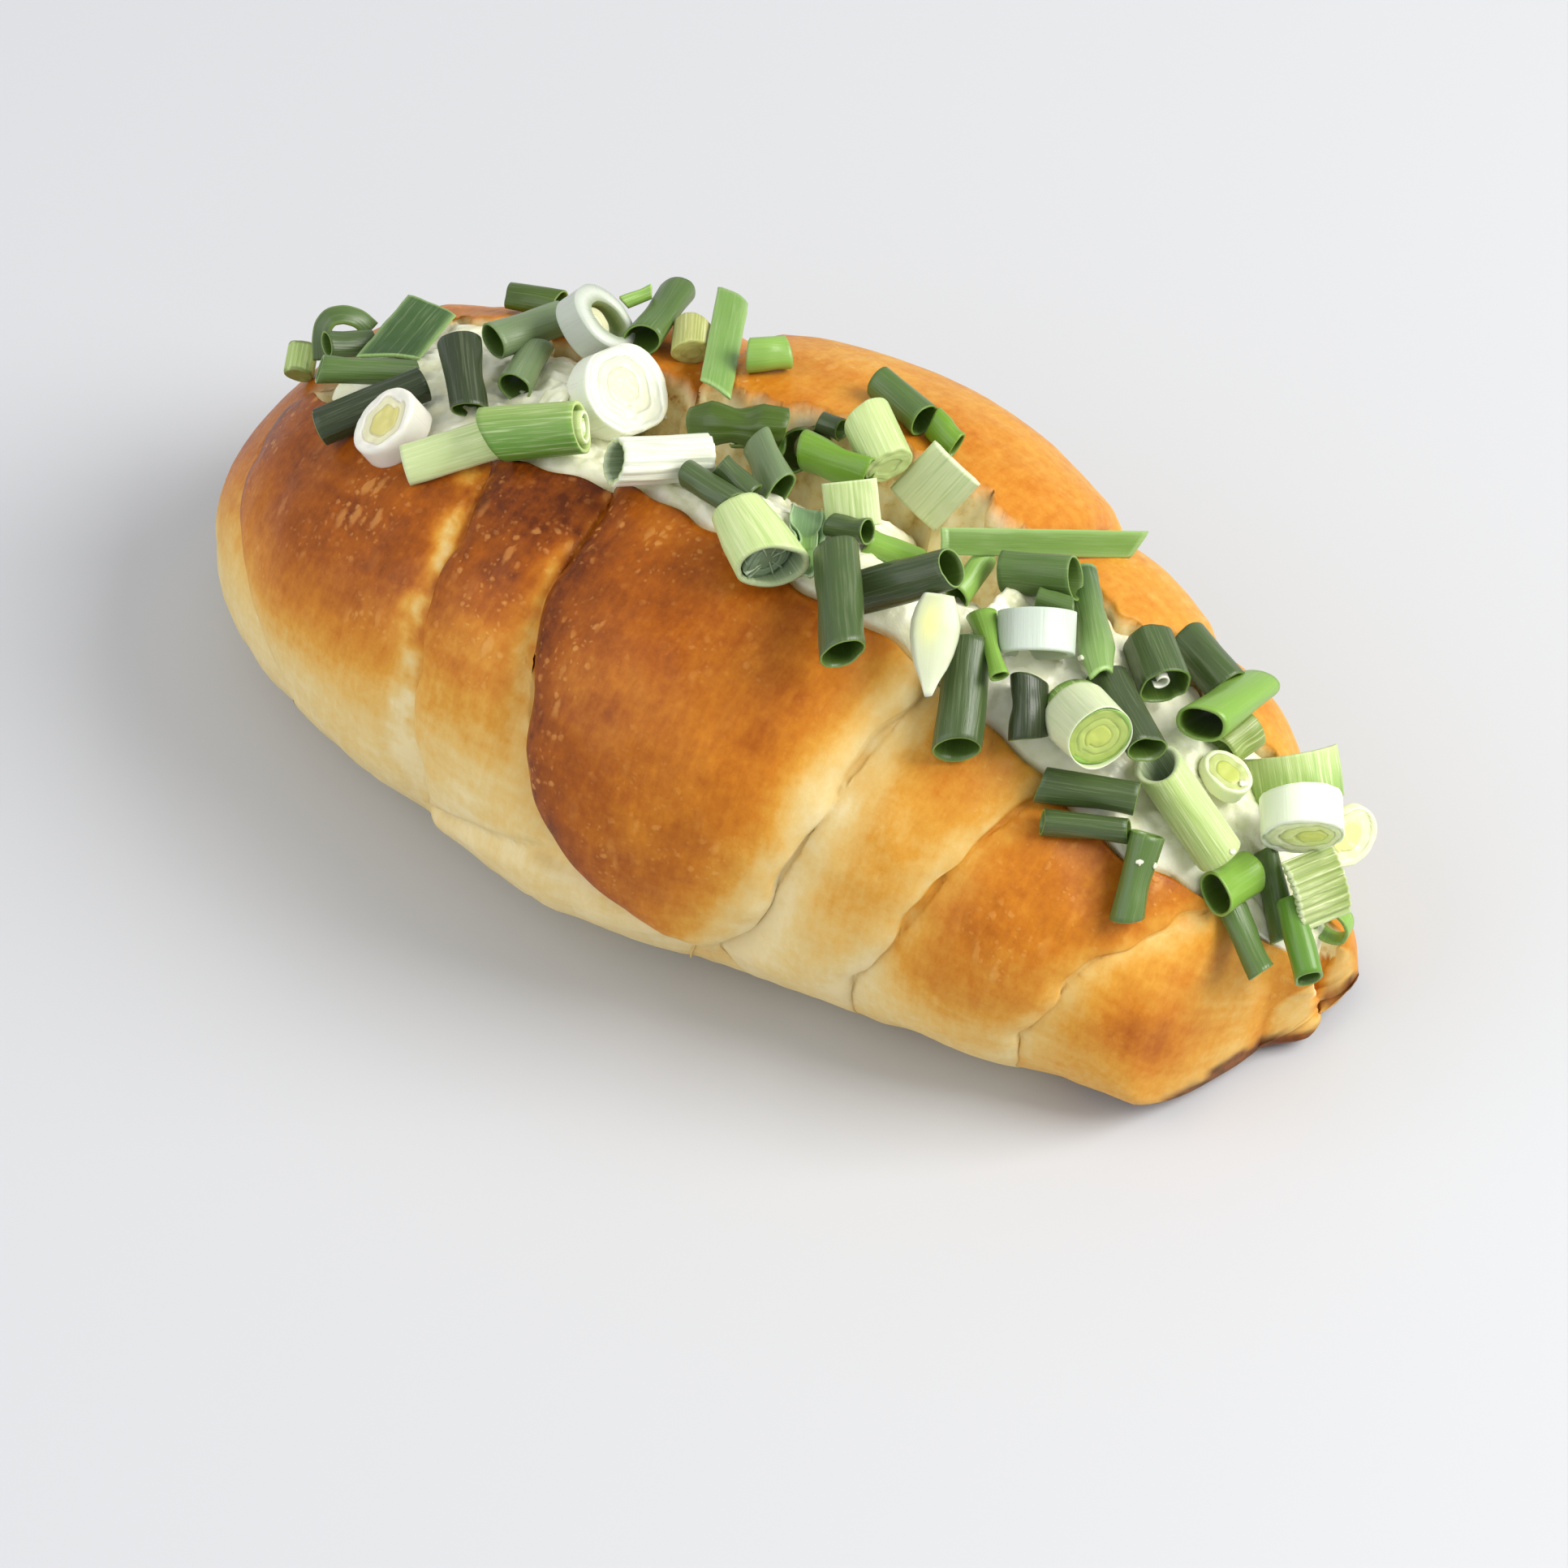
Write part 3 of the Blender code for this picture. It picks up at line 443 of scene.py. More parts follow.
def relief(k, x, t, edge, spin):
    """Height of turn k above the plain roll.  `edge` is None, or the side whose
    rolled edge this row lies on, turned by `spin` degrees."""
    tt = (t + 180.0) % 360.0 - 180.0
    amp = 1 - fade(96, 126, np.abs(tt))
    left, right = turn_edges(k, t)
    span = np.maximum(right - left, 1.0)
    f = np.clip((x - left) / span, 0, 1)
    d = BULGE[k] * np.sin(np.pi * f) ** 0.8 * amp
    for side, c in ((0, k - 1), (1, k)):
        if c < 0 or c > 5:
            continue
        s = FINE_STEP[c] * (amp if c not in (2, 3) else amp * (1 - fade(98, 109, tt) * (1 - fade(180, 181, tt))))
        q = (x - left) if side == 0 else (right - x)
        on_top = OVER_RIGHT[c] if side == 0 else not OVER_RIGHT[c]
        if on_top:
            if edge == side:
                d = d - s * 0.86 * (1 - math.cos(math.radians(spin)))
            else:
                u = np.clip(1 - np.maximum(q, 0) / ROUND, 0, 1)
                d = d - s * 0.86 * (1 - np.sqrt(1 - u * u))
        else:
            qq = np.maximum(q, 0)
            d = d - s * np.exp(-(qq / TUCK) ** 1.3) * np.clip(span / 10, 0, 1) * np.where(q < -0.05, 1.22, 1.0)
    return d - 1.6 * np.exp(-((x - TIP_X) / 8.0) ** 2) * fade(97, 107, tt) * (1 - fade(110, 126, tt))


def fine_rows():
    """turn, part of its span or None, mm from the left or right edge, rolled
    edge and its turn."""
    out = [(0, None, q, 0, None, 0) for q in (0.06, 0.25, 0.6, 1.1, 1.8, 2.6)]
    mids = (16, 46, 20, 62, 22, 26, 18)
    spins = (OVERHANG, 104, 92, 80, 68, 56, 44, 32, 20, 8)
    soft = (66, 60, 53, 46, 38, 30, 22, 14, 7)
    tucked = (-LEAD, 0.0, 0.15, 0.4, 0.8, 1.3, 2.0, 2.7)
    for k in range(7):
        if k > 0:
            if OVER_RIGHT[k - 1]:
                out += [(k, None, ROUND * (1 - math.sin(math.radians(a))), 0, 0, a) for a in (spins if k == 3 else soft)]
            else:
                out += [(k, None, q, 0, None, 0) for q in tucked]
        out += [(k, (i + 0.5) / mids[k], 0.0, 0, None, 0) for i in range(mids[k])]
        if k < 6:
            if not OVER_RIGHT[k]:
                out += [(k, None, ROUND * (1 - math.sin(math.radians(a))), 1, 1, a) for a in reversed(soft)]
            else:
                out += [(k, None, q, 1, None, 0) for q in reversed(tucked)]
    out += [(6, None, q, 1, None, 0) for q in (2.2, 1.6, 1.1, 0.7, 0.4, 0.18, 0.05)]
    return out


def place_row(k, f, off, side, t):
    left, right = turn_edges(k, t)
    wl = 0 if k == 0 else 0.55 * np.sin(t * 0.19 + k) + 0.16 * np.sin(t * 0.47 + 2 * k)
    wr = 0 if k == 6 else 0.55 * np.sin(t * 0.19 + k + 1) + 0.16 * np.sin(t * 0.47 + 2 * k + 2)
    inside_ = 1 - fade(100, 125, np.abs((t + 180.0) % 360.0 - 180.0))
    left, right = left + wl * inside_, right + wr * inside_
    room = np.maximum(right - left, 0.6)
    m = np.minimum(1.0, room * 0.1)
    if f is None:
        return left + off * m if side == 0 else right - off * m
    return left + 3.2 * m + (room - 6.4 * m) * f


def bake_and_highlight_of(k, x, t, left, right):
    """How brown the crust is, 0 pale to 1 dark, turn by turn; some pale bands by the creases are painted highlights."""
    front = {
        0: ((0, .76), (40, .75), (60, .52), (80, .26), (100, .10), (125, .05)),
        1: ((0, .84), (35, .79), (50, .70), (62, .55), (72, .38), (85, .18), (100, .08), (125, .05)),
        2: ((0, .95), (28, .92), (42, .78), (54, .56), (68, .34), (84, .16), (98, .07), (125, .05)),
        3: ((0, .78), (30, .80), (60, .79), (80, .73), (94, .64), (102, .49), (109, .30), (125, .12)),
        4: ((0, .57), (30, .53), (60, .46), (80, .30), (95, .17), (110, .10), (125, .08)),
        5: ((0, .70), (30, .71), (60, .64), (80, .50), (95, .28), (110, .18), (125, .12)),
        6: ((0, .58), (30, .56), (60, .54), (80, .48), (95, .42), (110, .40), (125, .35)),
    }[k]
    back = ((0, .70), (-30, .66), (-60, .56), (-80, .42), (-95, .26), (-110, .13), (-125, .07))
    a = np.interp(t, [p[0] for p in front], [p[1] for p in front])
    b = np.interp(-t, [-p[0] for p in back], [p[1] for p in back])
    v = np.where(t >= 0, a, b)
    ql, qr = x - left, right - x
    seen = fade(5, 15, t) * (1 - fade(100, 116, t))
    if k == 3:
        # the middle turn's right rim is paler: partly stretched dough, partly a painted highlight
        v = v + seen * (0.17 * np.exp(-(ql / 6.0) ** 2) - 0.34 * np.exp(-(qr / 5.0) ** 2) - 0.10 * np.exp(-(qr / 14.0) ** 2))
    if k == 4:
        # the next turn's left edge, under that rim, is paler: partly stretched dough, partly a painted highlight
        v = v - seen * (0.20 * np.exp(-(ql / 5.0) ** 2) + 0.12 * np.exp(-(qr / 2.4) ** 2))
    if k == 5:
        v = v - seen * (0.14 * np.exp(-(ql / 3.0) ** 2) + 0.12 * np.exp(-(qr / 2.2) ** 2))
    if k == 6:
        v = v - seen * 0.18 * np.exp(-(ql / 3.5) ** 2)
    return v


def torn_at(x):
    """Where the back lip shows torn crumb."""
    return np.maximum(fade(-30, -22, x) * (1 - fade(5, 11, x)), fade(11, 15, x) * (1 - fade(24, 30, x)))


def inset_soft(y, z, e):
    """As inset(), with the direction evened out along the outline."""
    ty, tz = np.roll(y, -1) - np.roll(y, 1), np.roll(z, -1) - np.roll(z, 1)
    for _ in range(24):
        ty = 0.25 * np.roll(ty, 1) + 0.5 * ty + 0.25 * np.roll(ty, -1)
        tz = 0.25 * np.roll(tz, 1) + 0.5 * tz + 0.25 * np.roll(tz, -1)
    n = np.maximum(np.hypot(ty, tz), 1e-9)
    k = np.ones(len(y))
    k[N_OUT:] = 0.25
    return y - tz / n * e * k, np.maximum(z + ty / n * e * k, 0.0)


def fine_bread():
    grids, info = [], []
    for k, f, off, side, edge, spin in fine_rows():
        u = np.linspace(0, 1, N_OUT)
        tn, tf = 15.0, 15.0
        for _ in range(6):
            a, b = (118 - tn) / (360 - tn - tf), (242 - tn) / (360 - tn - tf)
            t = tn + (360.0 - tf - tn) * np.interp(u, [0, .47, .56, 1], [0, a, b, 1])
            x = place_row(k, f, off, side, t)
            ends = np.array([x[0], x[-1]])
            bb, yc = smooth(BODY, ends, 1), smooth(BODY, ends, 2)
            # the torn back lip and the cut front lip waver
            wn = 0.35 * math.sin(ends[0] * 0.31) + 0.25 * math.sin(ends[0] * 0.83 + 1)
            wf = 0.55 * math.sin(ends[1] * 0.37 + 2) + 0.45 * math.sin(ends[1] * 1.07) + 0.3 * math.sin(ends[1] * 2.3 + 1)
            yn, yf = smooth(CUT, ends[:1], 1)[0] + wn, smooth(CUT, ends[1:], 2)[0] + wf
            tn = math.degrees(math.asin(np.clip((yc[0] - yn) / (bb[0] * 1.01), 0.04, 0.8)))
            tf = math.degrees(math.asin(np.clip((yf - yc[1]) / (bb[1] * 1.01), 0.04, 0.8)))
        y, z = outer(x, t, relief(k, x, t, edge, spin))
        v = np.linspace(0, 1, N_IN + 2)[1:-1]
        xw = x[-1] + (x[0] - x[-1]) * v
        yw, zw = wall(xw, 2 * v - 1, (y[-1], z[-1]), (y[0], z[0]))
        tz_ = torn_at(xw) * fade(0.0, 0.3, 1 - 2 * v)
        ys_ = 0.5 * (y[-1] + y[0])
        yw = yw + tz_ * ((ys_ + (y[-1] - ys_) * np.abs(2 * v - 1) ** 2.6) - yw)
        ta = -tf + (tn + tf) * v
        yo, zo = outer(xw, ta, relief(k, xw, ta, edge, spin))
        w = fade(CUT_CLOSED, CUT_OPEN, xw)
        yw, zw = yo + (yw - yo) * w, zo + (zw - zo) * w
        X, Y, Z = np.r_[x, xw], np.r_[y, yw], np.r_[z, zw]
        if k == 6 and side == 1 and off < 2.0 and f is None:
            e = 1.5 * (1 - math.sqrt(max(0.0, 1 - (1 - off / 2.0) ** 2)))
            Y, Z = inset_soft(Y, Z, e)
        T = (np.r_[t, ta] + 180.0) % 360.0 - 180.0
        left, right = turn_edges(k, T)
        grids.append(np.stack([blunt(X, Y), Y, Z], 1))
        inner = np.r_[np.zeros(N_OUT), w]
        info.append(np.stack([T, np.full_like(T, k), bake_and_highlight_of(k, X, T, left, right), inner, X - left, right - X,
                              np.r_[np.full(N_OUT, 9.0), np.minimum(v, 1 - v) * 2]], 1))
    return np.array(grids), np.array(info)


def grid_normals(g):
    """Normals of rows of closed rings."""
    a = np.roll(g, -1, 1) - np.roll(g, 1, 1)
    b = np.gradient(g, axis=0)
    n = np.cross(a, b)
    return n / np.maximum(np.linalg.norm(n, axis=2, keepdims=True), 1e-9)


def add_attr(me, name, values):
    at = me.attributes.new(name, "FLOAT", "POINT")
    at.data.foreach_set("value", np.asarray(values, np.float32))


def add_vec(me, name, values):
    at = me.attributes.new(name, "FLOAT_VECTOR", "POINT")
    at.data.foreach_set("vector", np.asarray(values, np.float32).ravel())


def add_col(me, name, values):
    v = np.ones((len(values), 4), np.float32)
    v[:, :3] = values
    at = me.attributes.new(name, "FLOAT_COLOR", "POINT")
    at.data.foreach_set("color", v.ravel())


def mesh_object(name, verts, faces, mat, smooth_faces=True):
    me = bpy.data.meshes.new(name)
    me.from_pydata([tuple(p) for p in np.asarray(verts) * MM], [], faces)
    me.update()
    ob = bpy.data.objects.new(name, me)
    bpy.context.scene.collection.objects.link(ob)
    me.materials.append(mat)
    if smooth_faces:
        me.shade_smooth()
    return ob


def face_out(ob):
    bm = bmesh.new()
    bm.from_mesh(ob.data)
    bmesh.ops.recalc_face_normals(bm, faces=bm.faces)
    if bm.calc_volume(signed=True) < 0:
        bmesh.ops.reverse_faces(bm, faces=bm.faces)
    bm.to_mesh(ob.data)
    bm.free()
    ob.data.shade_smooth()


# ============================================================ materials
def lin(h):
    c = [int(h[i:i + 2], 16) / 255 for i in (1, 3, 5)]
    return tuple(v / 12.92 if v <= 0.04045 else ((v + 0.055) / 1.055) ** 2.4 for v in c)


class Nodes:
    def __init__(self, name):
        self.mat = bpy.data.materials.new(name)
        self.mat.use_nodes = True
        self.t = self.mat.node_tree
        self.p = self.t.nodes["Principled BSDF"]

    def new(self, kind, **kw):
        n = self.t.nodes.new(kind)
        for k, v in kw.items():
            setattr(n, k, v)
        return n

    def link(self, a, b):
        self.t.links.new(a, b)

    def put(self, sock, v):
        if hasattr(v, "links") or isinstance(v, bpy.types.NodeSocket):
            self.link(v, sock)
        else:
            sock.default_value = v

    def attr(self, name, out="Fac"):
        n = self.new("ShaderNodeAttribute", attribute_name=name)
        return n.outputs[out]

    def math(self, op, a, b=0.0, c=0.0, clamp=False):
        n = self.new("ShaderNodeMath", operation=op, use_clamp=clamp)
        self.put(n.inputs[0], a)
        self.put(n.inputs[1], b)
        self.put(n.inputs[2], c)
        return n.outputs[0]

    def mix(self, f, a, b, blend="MIX"):
        n = self.new("ShaderNodeMix", data_type="RGBA", blend_type=blend)
        self.put(n.inputs[0], f)
        for i, v in ((6, a), (7, b)):
            self.put(n.inputs[i], v if isinstance(v, bpy.types.NodeSocket) else (*v, 1))
        return n.outputs[2]

    def coords(self):
        return self.new("ShaderNodeTexCoord").outputs["Object"]

    def noise(self, vec, scale, detail=3.0, rough=0.55, lac=2.0):
        n = self.new("ShaderNodeTexNoise")
        self.put(n.inputs["Vector"], vec)
        n.inputs["Scale"].default_value = scale
        n.inputs["Detail"].default_value = detail
        n.inputs["Roughness"].default_value = rough
        return n.outputs["Fac"]

    def cells(self, vec, scale, feature="F1", rand=1.0):
        n = self.new("ShaderNodeTexVoronoi", feature=feature)
        self.put(n.inputs["Vector"], vec)
        n.inputs["Scale"].default_value = scale
        n.inputs["Randomness"].default_value = rand
        return n

    def ramp(self, f, stops, mode="LINEAR"):
        n = self.new("ShaderNodeValToRGB")
        n.color_ramp.interpolation = mode
        e = n.color_ramp.elements
        while len(e) < len(stops):
            e.new(0.5)
        for i, (p, c) in enumerate(stops):
            e[i].position = p
            e[i].color = (*c, 1) if len(c) == 3 else c
        self.put(n.inputs[0], f)
        return n.outputs[0]

    def step(self, f, a, b):
        n = self.new("ShaderNodeMapRange", interpolation_type="SMOOTHSTEP")
        self.put(n.inputs["Value"], f)
        n.inputs["From Min"].default_value = a
        n.inputs["From Max"].default_value = b
        return n.outputs[0]

    def stretch(self, vec, s):
        n = self.new("ShaderNodeMapping")
        self.put(n.inputs["Vector"], vec)
        n.inputs["Scale"].default_value = s
        return n.outputs[0]

    def bump(self, h, strength, dist, normal=None):
        n = self.new("ShaderNodeBump")
        n.inputs["Strength"].default_value = strength
        n.inputs["Distance"].default_value = dist
        self.put(n.inputs["Height"], h)
        if normal is not None:
            self.link(normal, n.inputs["Normal"])
        return n.outputs[0]


def crust_material():
    m = Nodes("bread_crust")
    p, c = m.p, m.coords()
    bake_and_highlight, burn, crumb, fleck = (m.attr(n) for n in ("bake_and_highlight", "burn", "crumb", "fleck"))
    mottle = m.noise(c, 160, 4, 0.6)
    fine = m.noise(c, 900, 4, 0.65)
    # blisters: small round light spots, of two sizes
    warped = m.new("ShaderNodeVectorMath", operation="MULTIPLY_ADD")
    wn = m.new("ShaderNodeTexNoise")
    m.link(c, wn.inputs["Vector"])
    wn.inputs["Scale"].default_value = 700
    m.link(wn.outputs["Color"], warped.inputs[0])
    warped.inputs[1].default_value = (0.0011, 0.0011, 0.0011)
    m.link(c, warped.inputs[2])
    wc = warped.outputs[0]
    spots_ = 0.0
    drawn_out = m.stretch(wc, (1.0, 0.40, 0.40))
    for vec, scale, low_, r0, r1, much in ((drawn_out, 560, 0.62, 0.18, 0.42, 0.8), (wc, 700, 0.60, 0.16, 0.40, 0.9), (wc, 1250, 0.52, 0.14, 0.42, 0.6)):
        b1 = m.cells(vec, scale)
        one = m.math("MULTIPLY", m.math("SUBTRACT", 1.0, m.step(b1.outputs["Distance"], r0, r1)), m.step(b1.outputs["Color"], low_, low_ + 0.1))
        one = m.math("MULTIPLY", one, much)
        spots_ = one if spots_ == 0.0 else m.math("MAXIMUM", spots_, one)
    patch = m.step(m.noise(c, 110, 3), 0.44, 0.60)
    spots_ = m.math("MULTIPLY", m.math("MULTIPLY", spots_, fleck), m.math("MULTIPLY_ADD", patch, 0.85, 0.15))
    v = m.math("MULTIPLY_ADD", m.math("SUBTRACT", mottle, 0.5), 0.19, bake_and_highlight)
    grain = m.noise(m.stretch(c, (1.0, 0.28, 0.28)), 900, 3, 0.6)
    v = m.math("MULTIPLY_ADD", m.math("SUBTRACT", grain, 0.5), 0.20, v)
    v = m.math("MULTIPLY_ADD", m.math("SUBTRACT", fine, 0.5), 0.20, v)
    v = m.math("SUBTRACT", v, m.math("MULTIPLY", spots_, 0.10), clamp=True)
    col = m.ramp(v, CRUST_RAMP)
    col = m.mix(m.math("MULTIPLY", spots_, 0.48), col, lin("#DA9E58"))
    torn = m.ramp(m.noise(c, 380, 4, 0.6), ((0.26, lin("#A8642E")), (0.34, lin("#DDBD7C")), (0.50, lin("#F2DEA6")), (0.70, lin("#F8ECC4"))))
    col = m.mix(crumb, col, torn)
    burnt = m.ramp(m.noise(c, 500, 3), ((0.35, lin("#3E1C0E")), (0.7, lin("#83421C"))))
    col = m.mix(burn, col, burnt)
    m.link(col, p.inputs["Base Color"])
    rough = m.math("MULTIPLY_ADD", v, -0.16, 0.56)
    rough = m.math("MULTIPLY_ADD", m.math("SUBTRACT", fine, 0.5), 0.20, rough)
    m.link(m.math("MULTIPLY_ADD", crumb, 0.35, rough, clamp=True), p.inputs["Roughness"])
    h = m.math("MULTIPLY_ADD", spots_, 0.9, m.math("MULTIPLY", fine, 0.35))
    h = m.math("MULTIPLY_ADD", m.noise(c, 2200, 3), 0.18, h)
    m.link(m.bump(h, 0.55, 0.00022), p.inputs["Normal"])
    p.inputs["Specular IOR Level"].default_value = 0.19
    p.inputs["Coat Weight"].default_value = 0.07
    p.inputs["Coat Roughness"].default_value = 0.22
    p.inputs["Subsurface Weight"].default_value = 0.06
    p.inputs["Subsurface Radius"].default_value = (0.0018, 0.0009, 0.0004)
    p.inputs["Subsurface Scale"].default_value = 1.0
    return m.mat


CRUST_RAMP = (
    (0.00, lin("#E8D4A0")), (0.14, lin("#E2C684")), (0.30, lin("#DFB462")), (0.46, lin("#D69836")),
    (0.62, lin("#C5781B")), (0.80, lin("#A35408")), (0.94, lin("#7E3B06")), (1.00, lin("#622A05")),
)


def cream_material():
    m = Nodes("cream_cheese")
    c = m.coords()
    col = m.ramp(m.noise(c, 260, 4, 0.6), ((0.3, lin("#E6E6BE")), (0.50, lin("#F1F0D2")), (0.72, lin("#F8F6E4"))))
    m.link(col, m.p.inputs["Base Color"])
    m.link(m.bump(m.noise(c, 700, 4, 0.6), 0.5, 0.0003), m.p.inputs["Normal"])
    m.p.inputs["Roughness"].default_value = 0.30
    m.p.inputs["Subsurface Weight"].default_value = 0.22
    m.p.inputs["Subsurface Radius"].default_value = (0.0020, 0.0018, 0.0012)
    m.p.inputs["Subsurface Scale"].default_value = 1.0
    return m.mat


def leaf_material(name, vein, sss, rough, light, dark_):
    """Skin of a cut scallion: its tint is in the mesh, and fine nerves run
    lengthwise, `light` and `dark_` saying how far they leave the tint."""
    m = Nodes(name)
    tint, st, amount = m.attr("tint", "Color"), m.attr("st", "Vector"), m.attr("vein")
    wide = m.noise(m.stretch(st, (1.0, 0.05, 1.0)), 1.1, 2, 0.5)
    thin = m.noise(m.stretch(st, (1.0, 0.03, 1.0)), 3.4, 3, 0.6)
    hair = m.noise(m.stretch(st, (1.0, 0.02, 1.0)), 8.0, 2, 0.6)
    up = m.step(m.math("MULTIPLY_ADD", thin, 0.7, m.math("MULTIPLY", hair, 0.3)), 0.50, 0.66)
    down = m.math("SUBTRACT", 1.0, m.step(m.math("MULTIPLY_ADD", thin, 0.6, m.math("MULTIPLY", wide, 0.4)), 0.36, 0.50))
    k = m.math("MULTIPLY", amount, vein)
    brighter = m.mix(light, tint, (0.86, 0.92, 0.56))
    darker = m.mix(1.0, tint, (dark_, dark_ * 1.12, dark_ * 0.85), "MULTIPLY")
    col = m.mix(m.math("MULTIPLY", k, up), tint, brighter)
    col = m.mix(m.math("MULTIPLY", k, m.math("MULTIPLY", down, 0.8)), col, darker)
    m.link(col, m.p.inputs["Base Color"])
    m.link(m.math("MULTIPLY_ADD", thin, 0.18, rough - 0.09), m.p.inputs["Roughness"])
    m.link(m.bump(m.math("MULTIPLY", thin, amount), 0.5, 0.00018), m.p.inputs["Normal"])
    m.p.inputs["Subsurface Weight"].default_value = sss
    m.p.inputs["Subsurface Radius"].default_value = (0.0009, 0.0016, 0.0006)
    m.p.inputs["Subsurface Scale"].default_value = 1.0
    m.p.inputs["Specular IOR Level"].default_value = 0.50
    return m.mat


crust_mat = crust_material()
cream_mat = cream_material()

# ============================================================ bread mesh
g, info = fine_bread()
T, K, BAKE_AND_HIGHLIGHT, INNER, QL, QR, WV = (info[..., i] for i in range(7))
n = grid_normals(g)
mid = g.mean(1, keepdims=True)
if (n[:, : N_OUT // 2] * (g[:, : N_OUT // 2] - mid)).sum() < 0:
    n = -n
base = fade(0.4, 3.0, g[..., 2])            # the base stays flat
crumb = INNER * fade(0.0, 0.05, WV)
out = 1 - INNER
X = g[..., 0]
disp = out * base * (0.42 * noise(g, 17.0, 3) + 0.22 * noise(g, 7.0, 5) + 0.10 * noise(g, 2.8, 9))
# fine creases that run round the roll, strongest where the dough was stretched
wr = noise(g * np.array([1.0, 0.30, 0.30]), 1.7, 21)
disp += out * base * 0.10 * wr * fade(60, 90, np.abs(T))
# the torn wall of the cut
disp += crumb * (0.75 * noise(g, 3.1, 31) + 0.45 * np.abs(noise(g, 1.5, 33)) + 0.2 * noise(g, 0.9, 35) - 0.3)
# the ledge of a tucked layer, low on the front side
led_t = np.interp(X, [-27, -22, -14, -6, -1], [112, 104, 97, 90, 92])
led = fade(-27, -23, X) * (1 - fade(-5, 0, X)) * out * (T > 60)
disp += led * (-0.9 * np.exp(-((T - led_t) / 1.8) ** 2) + 0.9 * fade(1.0, 6.0, T - led_t) * (1 - fade(20, 30, T - led_t)))
g = g + n * disp[..., None]
# nubs of dough at the foot of the front side
for x0, y0, reach, wide in ((-4, -34, 3.0, 2.4), (16, -28.7, 1.2, 1.4), (27.4, -25.7, 1.0, 2.6), (50.6, -22.8, 1.6, 2.4), (-31, -29, 0.6, 3.0)):
    w = np.exp(-((g[..., 0] - x0) / wide) ** 2) * np.exp(-(g[..., 2] / 2.2) ** 2) * (g[..., 1] < 0) * out
    g[..., 1] -= reach * w
ragged_foot = 0.5 + 1.3 * np.abs(noise(g * np.array([1.0, 0.2, 0.2]), 4.6, 57)) + 0.5 * noise(g * np.array([1.0, 0.3, 0.3]), 1.7, 59)
g[..., 1] -= 0.8 * ragged_foot * np.exp(-(g[..., 2] / 1.7) ** 2) * (g[..., 1] < -10) * out * fade(-55, -40, X) * (1 - fade(48, 58, X))
g[..., 2] = np.maximum(g[..., 2], 0.0)

R, C = g.shape[:2]
verts = g.reshape(-1, 3)
faces = []
for i in range(R - 1):
    for j in range(C):
        jj = (j + 1) % C
        faces.append((i * C + j, i * C + jj, (i + 1) * C + jj, (i + 1) * C + j))
pole = len(verts)
verts = np.vstack([verts, [[X_LEFT, -0.5, 9.6]]])
faces += [((j + 1) % C, j, pole) for j in range(C)]
# the right end: each half is closed by strips that run from the crust to the wall of the cut
o = (R - 1) * C
low_ = int(np.argmin(g[-1, :N_OUT, 2] + 0.02 * np.abs(g[-1, :N_OUT, 1] - 8.6)))
keel = N_OUT + N_IN // 2
extra = []


def close_half(outer_ids, wall_ids):
    """Strips between two chains of the last row, crowned a little."""
    po, pw = g[-1, outer_ids], g[-1, wall_ids]
    q = np.linspace(0, 1, len(po))
    partner = np.stack([np.interp(q, np.linspace(0, 1, len(pw)), pw[:, i]) for i in range(3)], 1)
    layers_ = []
    for w in (0.22, 0.5, 0.78):
        mid_ = po * (1 - w) + partner * w
        thick_ = np.linalg.norm(po - partner, axis=1)
        mid_[:, 0] += np.minimum(0.5, 0.16 * thick_) * math.sin(math.pi * w) + 0.18 * noise(mid_, 2.0, 97) * np.clip(thick_ / 3, 0, 1)
        layers_.append([len(verts) + len(extra) + i for i in range(len(mid_))])
        extra.extend(mid_)
    chain = [o + i for i in outer_ids]
    for nxt in layers_:
        for i in range(len(chain) - 1):
            faces.append((chain[i], chain[i + 1], nxt[i + 1], nxt[i]))
        chain = nxt
    wall_v = [o + i for i in wall_ids]
    i = j = 0
    while i < len(chain) - 1 or j < len(wall_v) - 1:
        if j == len(wall_v) - 1 or (i < len(chain) - 1 and (i + 1) / (len(chain) - 1) <= (j + 1) / (len(wall_v) - 1)):
            faces.append((chain[i], chain[i + 1], wall_v[j]))
            i += 1
        else:
            faces.append((chain[i], wall_v[j + 1], wall_v[j]))
            j += 1
    return layers_


rows_near = close_half(list(range(0, low_ + 1)), list(range(C - 1, keel - 1, -1)))
rows_far = close_half(list(range(N_OUT - 1, low_ - 1, -1)), list(range(N_OUT, keel + 1)))
# the two halves meet in a short seam under the cut, and each closes at its lip
seam_n = [o + low_] + [q[-1] for q in rows_near] + [o + keel]
seam_f = [o + low_] + [q[-1] for q in rows_far] + [o + keel]
lip_n_ = [o + 0] + [q[0] for q in rows_near] + [o + C - 1]
lip_f_ = [o + N_OUT - 1] + [q[0] for q in rows_far] + [o + N_OUT]
extra = np.array(extra)
n_extra = len(extra)
verts = np.vstack([verts, extra])
swap = {b_: a_ for a_, b_ in zip(seam_n[1:-1], seam_f[1:-1])}
faces = [tuple(swap.get(i, i) for i in q) for q in faces]
faces.append(tuple(lip_n_))
faces.append(tuple(lip_f_))

bread = mesh_object("bread_fine", verts, faces, crust_mat)
bm = bmesh.new()
bm.from_mesh(bread.data)
bmesh.ops.triangulate(bm, faces=[q for q in bm.faces if len(q.verts) > 4], ngon_method="EAR_CLIP")
bmesh.ops.recalc_face_normals(bm, faces=bm.faces)
if bm.calc_volume(signed=True) < 0:
    bmesh.ops.reverse_faces(bm, faces=bm.faces)
bm.to_mesh(bread.data)
bm.free()
bread.data.shade_smooth()

